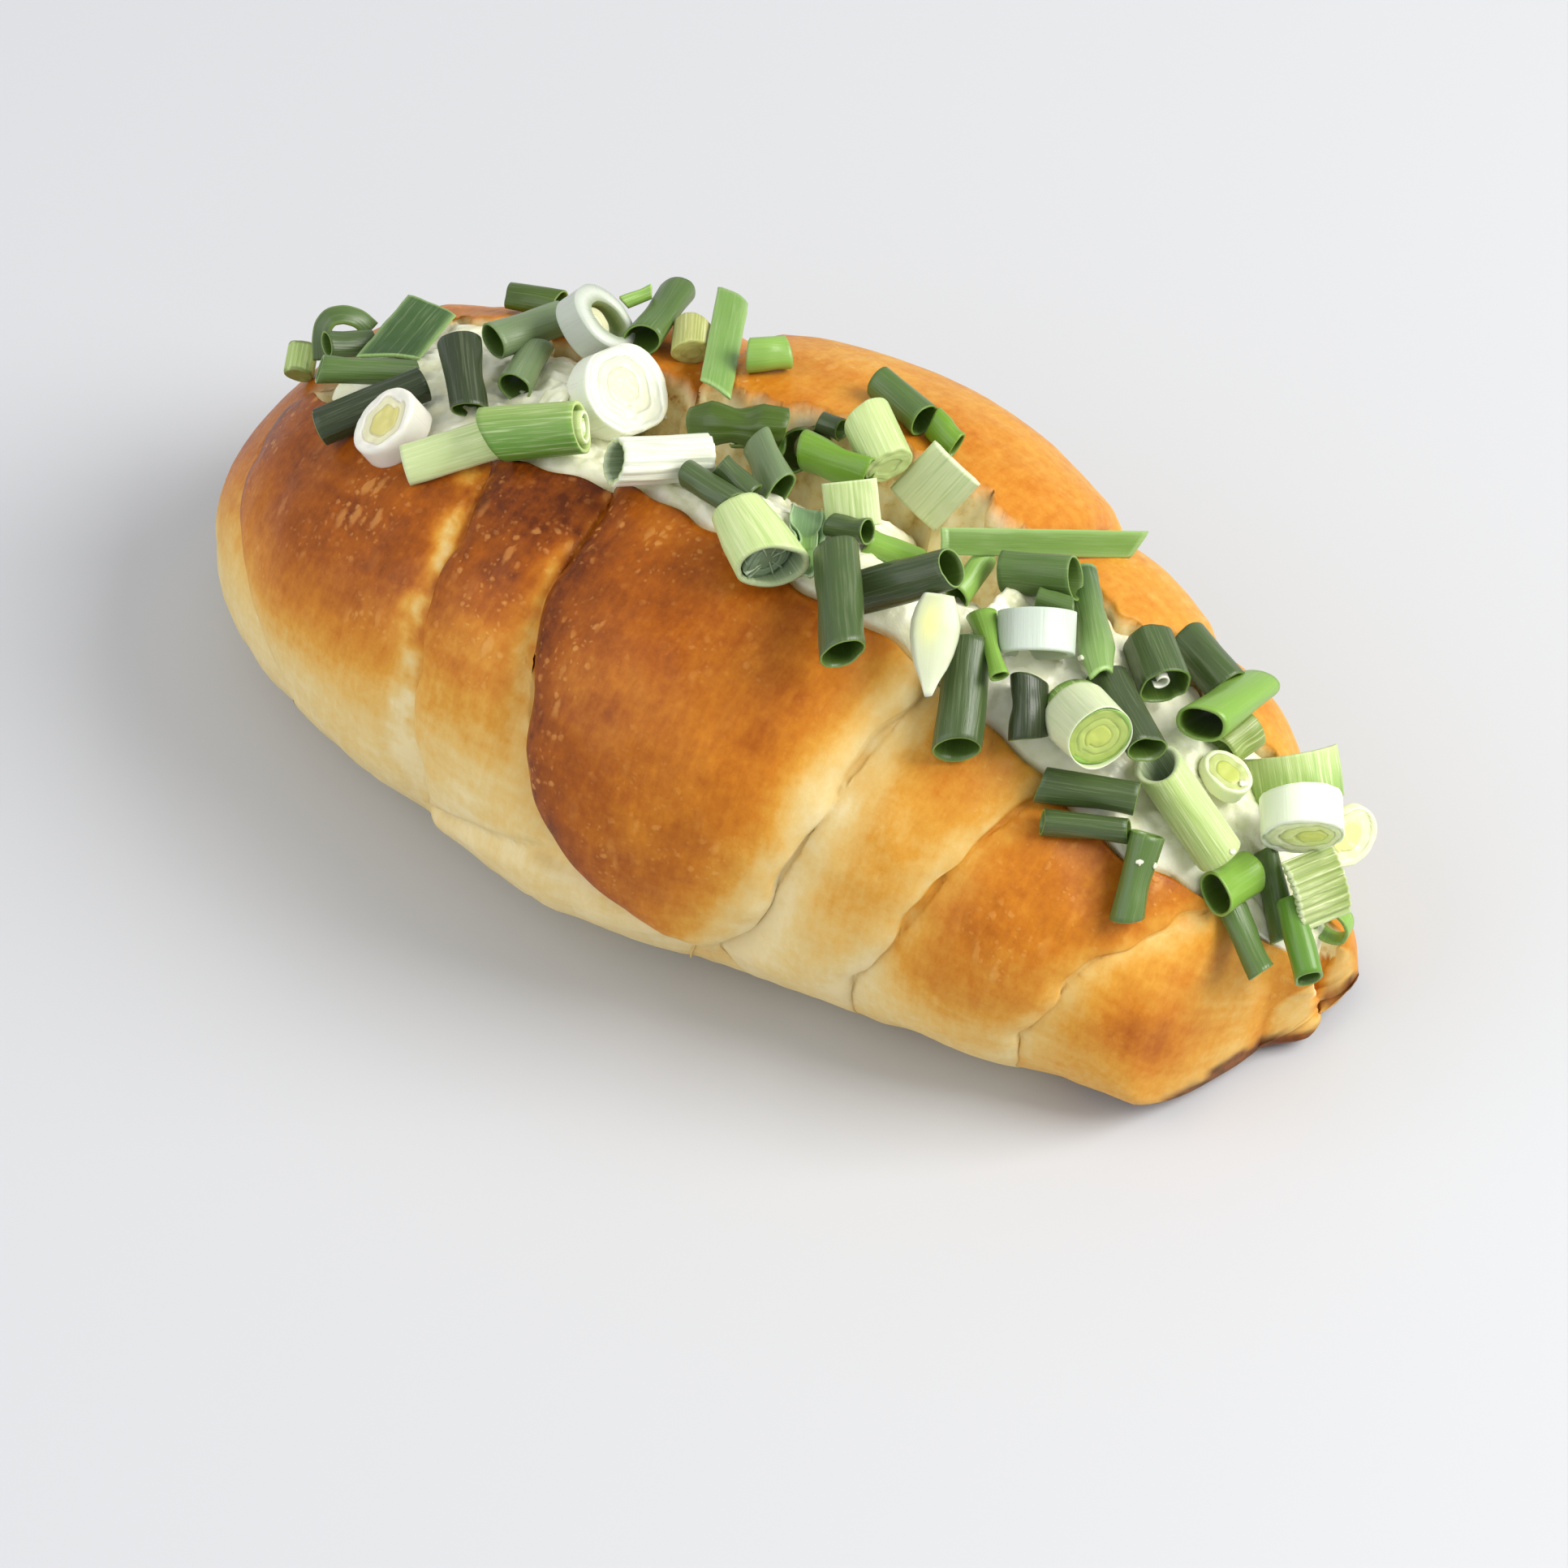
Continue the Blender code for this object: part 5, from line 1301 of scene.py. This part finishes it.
greens, pales, whites, leaves = Heap(), Heap(), Heap(), Heap()
W, Y, MK, BT = TONES["white"], TONES["yellow"], TONES["milk"], TONES["butter"]
AWAY = math.pi / 2
for name, kind, a, b, side, r in laid:
    rnd = np.random.RandomState(1000 + name)
    slant = tuple(rnd.uniform(-0.32, 0.32, 2) * r)
    dents = [(rnd.uniform(0, 6.28), rnd.uniform(0.1, 0.9), rnd.uniform(0.5, 0.9), rnd.uniform(0.15, 0.35), rnd.uniform(0.06, 0.20)) for _ in range(3)]
    press = rnd.uniform(0, 3.14)
    c = TONES[LOOK.get(name, "leaf")]
    d = (b - a) / np.linalg.norm(b - a)
    if name == 25:
        tube(greens, a, b, side, r, 0.35, c, name, flat=0.7, slant=(0.5, -1.2), prof=(0.7, 1.02, 0.74, 1.08, 0.9), lumps=0.20, ridges=0.09, vein=0.5, bend=-0.8,
             dents=((1.2, 0.34, 0.8, 0.14, 0.34), (4.0, 0.62, 0.7, 0.12, 0.30), (2.6, 0.82, 0.6, 0.12, 0.25)))
        sheet(leaves, a + d * 5, b + side * 1.0, side, curl_of(r * 0.75, -0.4, 2.6), 0.35, TONES["moss"], TONES["grass"], RIM, 925, wave=0.5)
    elif name == 35:
        sheet(leaves, a, b, side, curl_of(r * 0.95, 0.35, 2.8, squeeze=0.55), 0.4, lin("#7F9F70"), TONES["grass"], lin("#BDD5A8"), name, vein=0.8, wave=0.75, widths=(1.15, 0.95, 0.6, 0.5))
        sheet(leaves, a + side * 0.8, b - d * 3.0, side, curl_of(r * 0.6, 0.2, 2.9, squeeze=0.9), 0.35, lin("#7C9C70"), TONES["acid"], lin("#B6D09C"), 935, vein=0.7, wave=0.6, widths=(1.2, 0.8, 0.6))
    elif name == 47:
        tube(greens, a, b, side, r * 1.25, 0.3, c, name, prof=(1.05, 0.8, 0.5, 0.52, 0.66), flat=0.85, vein=0.7, slant=(0.6, 0.2))
    elif name == 61:
        # inner_c: painted shade inside the hollow
        tube(pales, a, b, side, r, 0.75, c, name, inner_c=lin("#7C8E6A"), rim_c=MK, slant=(0.4, 1.3), cut=AWAY, around=(TONES["pale"], 4.4), vein=1.0, n=56, m=20)
    elif name == 34:
        # inner_c: painted shade inside the hollow
        tube(pales, a, b, side, r, 0.75, c, name, inner_c=lin("#66795A"), rim_c=lin("#C2D2A4"), prof=(0.80, 0.95, 1.0), flat=0.9, slant=(0.5, 1.4), cut=2.6, n=60, vein=0.8, lumps=0.06)
        stalk(pales, a + d * 1.5, b - d * 1.0, side, r - 1.0, lin("#6F8466"), 834, [(0.86, lin("#738A6A")), (0.5, lin("#6C8262"))], flat=0.88, groove=0.35, lumps=0.06)
        third = np.cross(d, side)
        for q in range(7):
            w = q * 0.93 + 0.3 + 0.3 * math.sin(q * 2.3)
            arm = side * math.cos(w) + third * math.sin(w) * 0.88
            face_ = np.cross(arm, d)
            sheet(pales, b - d * 1.5 + arm * 0.5, b - d * 1.1 + arm * (r - 0.9), face_ / np.linalg.norm(face_), np.stack([np.linspace(-0.10, 0.10, 4), np.zeros(4)], 1), 0.9,
                  lin("#8FA680"), lin("#9CB28C"), lin("#A6BA96"), 840 + q, vein=0.2, m=7, wave=0.10)
    elif name == 10:
        tube(pales, a, b, side, r, 0.55, TONES["pale"], name, inner_c=lin("#A8BC74"), rim_c=TONES["paler"], around=(TONES["grass"], -0.9), vein=0.7, flat=0.85, slant=(1.6, 0.3), lumps=0.07)
        tube(pales, a + d * 1.0, b + d * 0.5, side, r * 0.62, 0.5, TONES["paler"], 810, inner_c=TONES["pale"], rim_c=W, vein=0.4, flat=0.8)
        stalk(pales, a + d * 1.5, b + d * 0.3, side, r * 0.36, TONES["paler"], 811, [(0.6, W)], flat=0.8)
    elif name == 53:
        tube(greens, a, b, side, r, 0.34, c, name, ridges=0.045, flat=0.92, vein=0.9)
        sheet(whites, b - d * 0.9, b + d * 0.1, side, curl_of(0.85, 0.3, 5.6, grow=-0.5) + [0.3, -r * 0.35], 0.25, W, W, W, 953, vein=0.0, m=5, wave=0.03)
    elif kind in "TG":
        tube(greens, a, b, side, r, 0.30 if kind == "T" else 0.36, c, name, inner_c=None if kind == "T" else TONES["olive"], oval=rnd.uniform(-0.10, 0.12), flat=rnd.uniform(0.70, 0.92), press=press, dents=dents,
             bend=rnd.uniform(-0.4, 0.4), slant=slant, prof=(rnd.uniform(0.92, 1.06), 1.0, rnd.uniform(0.95, 1.06)),
             ridges={6: 0.06, 54: 0.02}.get(name, 0.012), vein=0.9 if kind == "T" else 0.6)
    elif name == 62:
        w = np.linspace(-1, 1, 34)
        sheet(pales, a, b, side, np.stack([np.sin(w * 1.25) / 0.949 * r, 0.4 * r - (np.cos(w * 1.25) - 0.315) * r * 0.95], 1), 0.8, c, TONES["lime"], TONES["paler"], name, vein=1.0, wave=0.10, m=24)
    elif kind == "P" and name in (1, 29, 51, 18):
        lay = {1: [(0.95, lin("#83924C"))], 18: [(0.9, TONES["straw"]), (0.5, TONES["straw"])],
               29: [(0.80, TONES["paler"]), (0.45, TONES["paler"])],
               51: [(0.86, lin("#A9BC5E")), (0.58, lin("#B6C768")), (0.34, lin("#BECB62"))]}[name]
        stalk(pales, a, b, side, r, c, name, lay, flat=0.94, slant=slant, spiral=0.12 if name == 51 else 0.0, groove={1: 0.02, 18: 0.03, 51: 0.12, 29: 0.04}.get(name, 0.2), round_=0.5 if name == 1 else 0.18, lumps=0.05, n=60)
        if name == 51:
            tube(pales, a + d * 2.0, b + d * 0.25, side, r * 1.05, 0.14, TONES["milk"], 851, inner_c=MK, rim_c=W, slant=(0, 0.5), cut=AWAY + 2.6, vein=0.5, flat=0.95, lumps=0.05)
    elif kind == "P":
        # the darker inner colours are painted shade in the hollows
        tube(pales, a, b, side, r, 0.6, c, name, inner_c=lin("#6F8558") if name in (21, 33) else lin("#8FA565"), rim_c=TONES["paler"], flat=rnd.uniform(0.76, 0.92), oval=rnd.uniform(-0.05, 0.08), slant=slant, press=press, dents=dents, flutes=(13, 0.045) if name == 21 else (0, 0.0),
             around=(TONES["pale"], 3.6) if name == 62 else None, vein=1.0, n=56, bend=rnd.uniform(-0.2, 0.2))
    elif name == 46:
        sheet(whites, a, b, side, np.stack([np.linspace(-1, 1, 20) * r, -0.20 * r * (1 - np.linspace(-1, 1, 20) ** 2)], 1), 2.0, lin("#C4CAA4"), lin("#CDD2B4"), lin("#DADEC6"), name, vein=0.15, m=26, wave=0.06,
              widths=(0.62, 0.88, 1.0, 0.98, 0.86, 0.66, 0.34, 0.08), core=(0.30, 0.20, 0.28, 0.36, BT))
    elif kind == "S":
        lay = {7: [(0.66, lin("#E0DCB4")), (0.42, lin("#D3CB7C"))], 15: [(0.84, lin("#E4E6D0")), (0.60, lin("#E0E3C4")), (0.34, lin("#E3E4BE"))],
               57: [(0.72, lin("#C3CB84")), (0.42, lin("#C2CA66"))], 64: [(0.76, lin("#EEEFBC")), (0.45, lin("#E9E89A"))]}[name]
        stalk(whites, a, b, side, r, {7: lin("#E6E3D6"), 15: W}.get(name, lin("#E4EBC0")), name, lay, oval=0.09, flat={7: 0.86, 15: 0.92}.get(name, 0.9), slant=slant, spiral=0.10, groove={15: 0.10, 7: 0.05, 57: 0.05, 64: 0.06}[name],
              shift=(-0.12, -0.10) if name == 15 else (0.05, -0.1), vein=0.15, round_=0.5, lumps=0.07, n=64)
    elif name == 14:
        tube(whites, a, b, side, r, r * 0.42, lin("#C0C5B8"), name, inner_c=lin("#7F9448"), rim_c=lin("#CDD2C4"), flat=0.94, vein=0.3, n=72, lumps=0.07, slant=(0.2, 0.5), ecc=RIGHT * 0.9)
        stalk(whites, a + d * 0.4, b - d * 1.9, side, r * 0.5, lin("#DEDDB4"), 814, [(0.5, lin("#E4E2BC"))], lumps=0.12, groove=0.0)
    elif name == 48:
        tube(whites, a, b, side, r, r * 0.22, lin("#CAD3C6"), name, inner_c=lin("#B6BF94"), rim_c=lin("#D8DFCC"), vein=0.8, n=64, lumps=0.03, flat=0.9)
    elif name == 63:
        stalk(whites, a, b, side, r, lin("#E9F0D6"), name, [(0.84, lin("#E4EBB8")), (0.60, lin("#DCE795")), (0.34, Y)], shift=(-0.35, 0.0), groove=0.22, vein=0.5, n=64, lumps=0.03)
    elif kind in "LQ":
        w = np.linspace(-1, 1, 18)
        arch = {4: 0.06, 19: 0.16, 41: 0.10, 44: 0.75, 32: 0.08, 65: 0.16, 9: 0.30}.get(name, 0.2)
        curve = np.stack([w * r, -arch * r * (1 - w * w)], 1)
        if name == 65:
            w = np.linspace(-1, 1, 90)
            curve = np.stack([w * r, -arch * r * (1 - w * w) + 0.16 * np.sin(w * 28)], 1)
        if kind == "L":
            c0, c1 = {4: ("#3D5C28", "#345022"), 19: ("#749947", "#7BA050"), 41: ("#66862F", "#5E7E2B"), 44: ("#3A5824", "#86A65C")}.get(name, ("#5B9A48", "#4E8C40"))
            sheet(leaves, a, b, side, curve, 0.45, lin(c0), lin(c1), lin("#A9CB7E"), name, vein=0.8 if name != 41 else 0.4, wave={41: 0.12}.get(name, 0.16),
                  cut={4: (-0.2, 1.9), 19: (-0.7, -1.1), 41: (-1.5, 0.0), 44: (0.4, 0.8)}.get(name, (0, 0)), widths={44: (0.8, 1.0, 0.9, 1.15, 0.75)}.get(name, (1.0, 1.0)), m=30)
        else:
            sheet(pales, a, b, side, curve, 0.7, c, between(c, MK, 0.25), TONES["milk"], name, vein=1.0, wave=0.10 if name != 65 else 0.05, m=24)
    elif name == 2:
        ribbon(leaves, (a + b) / 2, ((400, 446), (399, 424), (402, 405), (411, 394), (428, 391), (446, 396), (460, 409)), 25, TONES["moss"], TONES["leaf"], RIM, name)
    elif kind == "C":
        sheet(leaves, a, b, side, curl_of(r * 0.92, 0.2, 5.2 if name == 70 else 3.6, squeeze=0.9, grow=0.2), 0.42, TONES["fresh"] if name == 70 else TONES["moss"], TONES["lime"] if name == 70 else TONES["deep"],
              RIM, name, vein=0.6, wave=0.15, m=10)

green_ob = greens.build("scallion_green", leaf_material("scallion_green", 0.50, 0.03, 0.33, 0.14, 0.72))
pale_ob = pales.build("scallion_pale", leaf_material("scallion_pale", 0.95, 0.10, 0.42, 0.50, 0.72))
white_ob = whites.build("scallion_white", leaf_material("scallion_white", 0.35, 0.25, 0.30, 0.40, 0.82))
leaf_ob = leaves.build("scallion_leaf", leaf_material("scallion_leaf", 0.60, 0.04, 0.33, 0.20, 0.70))

# dabs of cheese on the bread's rim and on single pieces
dab_trees = (tree_of(bread), tree_of(green_ob), tree_of(pale_ob), tree_of(white_ob), tree_of(leaf_ob))
curds = Heap()
for i, (u, v_, size) in enumerate(((1411, 998, 1.2), (1402, 1062, 0.8), (1420, 1066, 0.9), (1528, 965, 1.1), (1540, 1000, 1.3), (1532, 1034, 1.0), (1516, 1048, 0.8), (1300, 818, 1.5),
                                   (1320, 826, 1.2), (1284, 830, 1.2), (1296, 846, 1.1), (1330, 812, 0.8), (700, 470, 0.7), (820, 516, 0.8))):
    hit = under(u, v_, dab_trees)
    if hit is None:
        continue
    nrm = np.array(hit[1])
    nrm = nrm if nrm @ BACK > 0 else -nrm
    ax = np.cross(nrm, UP)
    ax = ax / np.linalg.norm(ax)
    bx = np.cross(nrm, ax)
    th, ph = np.linspace(0, np.pi, 12), np.linspace(0, 2 * np.pi, 18, endpoint=False)
    ball = np.array([[math.sin(t_) * math.cos(p_), math.sin(t_) * math.sin(p_), math.cos(t_)] for t_ in th[1:-1] for p_ in ph] + [[0, 0, 1], [0, 0, -1]])
    rad = size / 2 * (1 + 0.45 * noise(ball * 1.3 + i * 7.0, 0.9, 600 + i) + 0.2 * noise(ball * 1.3 + i * 7.0, 0.4, 620 + i))
    pts_ = hit[0] + (ax * ball[:, :1] + bx * ball[:, 1:2] * 0.8 + nrm * ball[:, 2:] * 0.42) * rad[:, None] + nrm * size * 0.06
    kq = len(ph)
    qs = [(r_ * kq + j, r_ * kq + (j + 1) % kq, (r_ + 1) * kq + (j + 1) % kq, (r_ + 1) * kq + j) for r_ in range(len(th) - 3) for j in range(kq)]
    top_i, bot_i = len(ball) - 2, len(ball) - 1
    qs += [(top_i, (j + 1) % kq, j) for j in range(kq)] + [(bot_i, (len(th) - 3) * kq + j, (len(th) - 3) * kq + (j + 1) % kq) for j in range(kq)]
    curds.add(pts_, qs, pts_, np.tile(W, (len(pts_), 1)), np.zeros(len(pts_)))
curd_ob = curds.build("cheese_dabs", cream_mat)

for ob, node, slot in ((bread, "bread", "bread_crust"), (cream, "cream_cheese", "cream_cheese"), (green_ob, "scallions", "scallion"),
                       (pale_ob, "scallions", "scallion"), (white_ob, "scallions", "scallion"), (leaf_ob, "scallions", "scallion"),
                       (curd_ob, "cream_cheese", "cream_cheese")):
    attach(ob, "root")
    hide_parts(node)

# ============================================================ stage
fl = Nodes("floor")
fl.p.inputs["Base Color"].default_value = (0.57, 0.575, 0.59, 1)
fl.p.inputs["Roughness"].default_value = 0.75
bpy.ops.mesh.primitive_plane_add(size=4.0, location=(0, 0, -0.0001))
floor = bpy.context.object
floor.name = "floor"
floor.data.materials.append(fl.mat)

world = bpy.data.worlds.new("studio")
bpy.context.scene.world = world
world.use_nodes = True
world.node_tree.nodes["Background"].inputs[0].default_value = (0.93, 0.96, 1.0, 1)
world.node_tree.nodes["Background"].inputs[1].default_value = 0.60


def area(name, pos, size, energy, colour):
    li = bpy.data.lights.new(name, "AREA")
    li.size = size
    li.energy = energy
    li.color = colour
    ob = bpy.data.objects.new(name, li)
    ob.location = pos
    ob.rotation_euler = (Vector((0, 0, 0.02)) - Vector(pos)).to_track_quat("-Z", "Y").to_euler()
    bpy.context.scene.collection.objects.link(ob)


area("key", (0.62, 0.34, 0.66), 0.62, 10.6, (1.0, 0.985, 0.95))
area("fill", (-0.45, -0.65, 0.6), 1.0, 4.2, (0.98, 0.985, 1.0))

camera = bpy.data.cameras.new("camera")
camera.sensor_width = 36.0
camera.lens = 36.0 * 9480.0 / 1932.0
camera.clip_end = 20
cam = bpy.data.objects.new("camera", camera)
pos = EYE * MM
cam.matrix_world = Matrix(((RIGHT[0], UP[0], BACK[0], pos[0]), (RIGHT[1], UP[1], BACK[1], pos[1]), (RIGHT[2], UP[2], BACK[2], pos[2]), (0, 0, 0, 1)))
bpy.context.scene.collection.objects.link(cam)
bpy.context.scene.camera = cam
bpy.context.scene.view_settings.view_transform = "Standard"
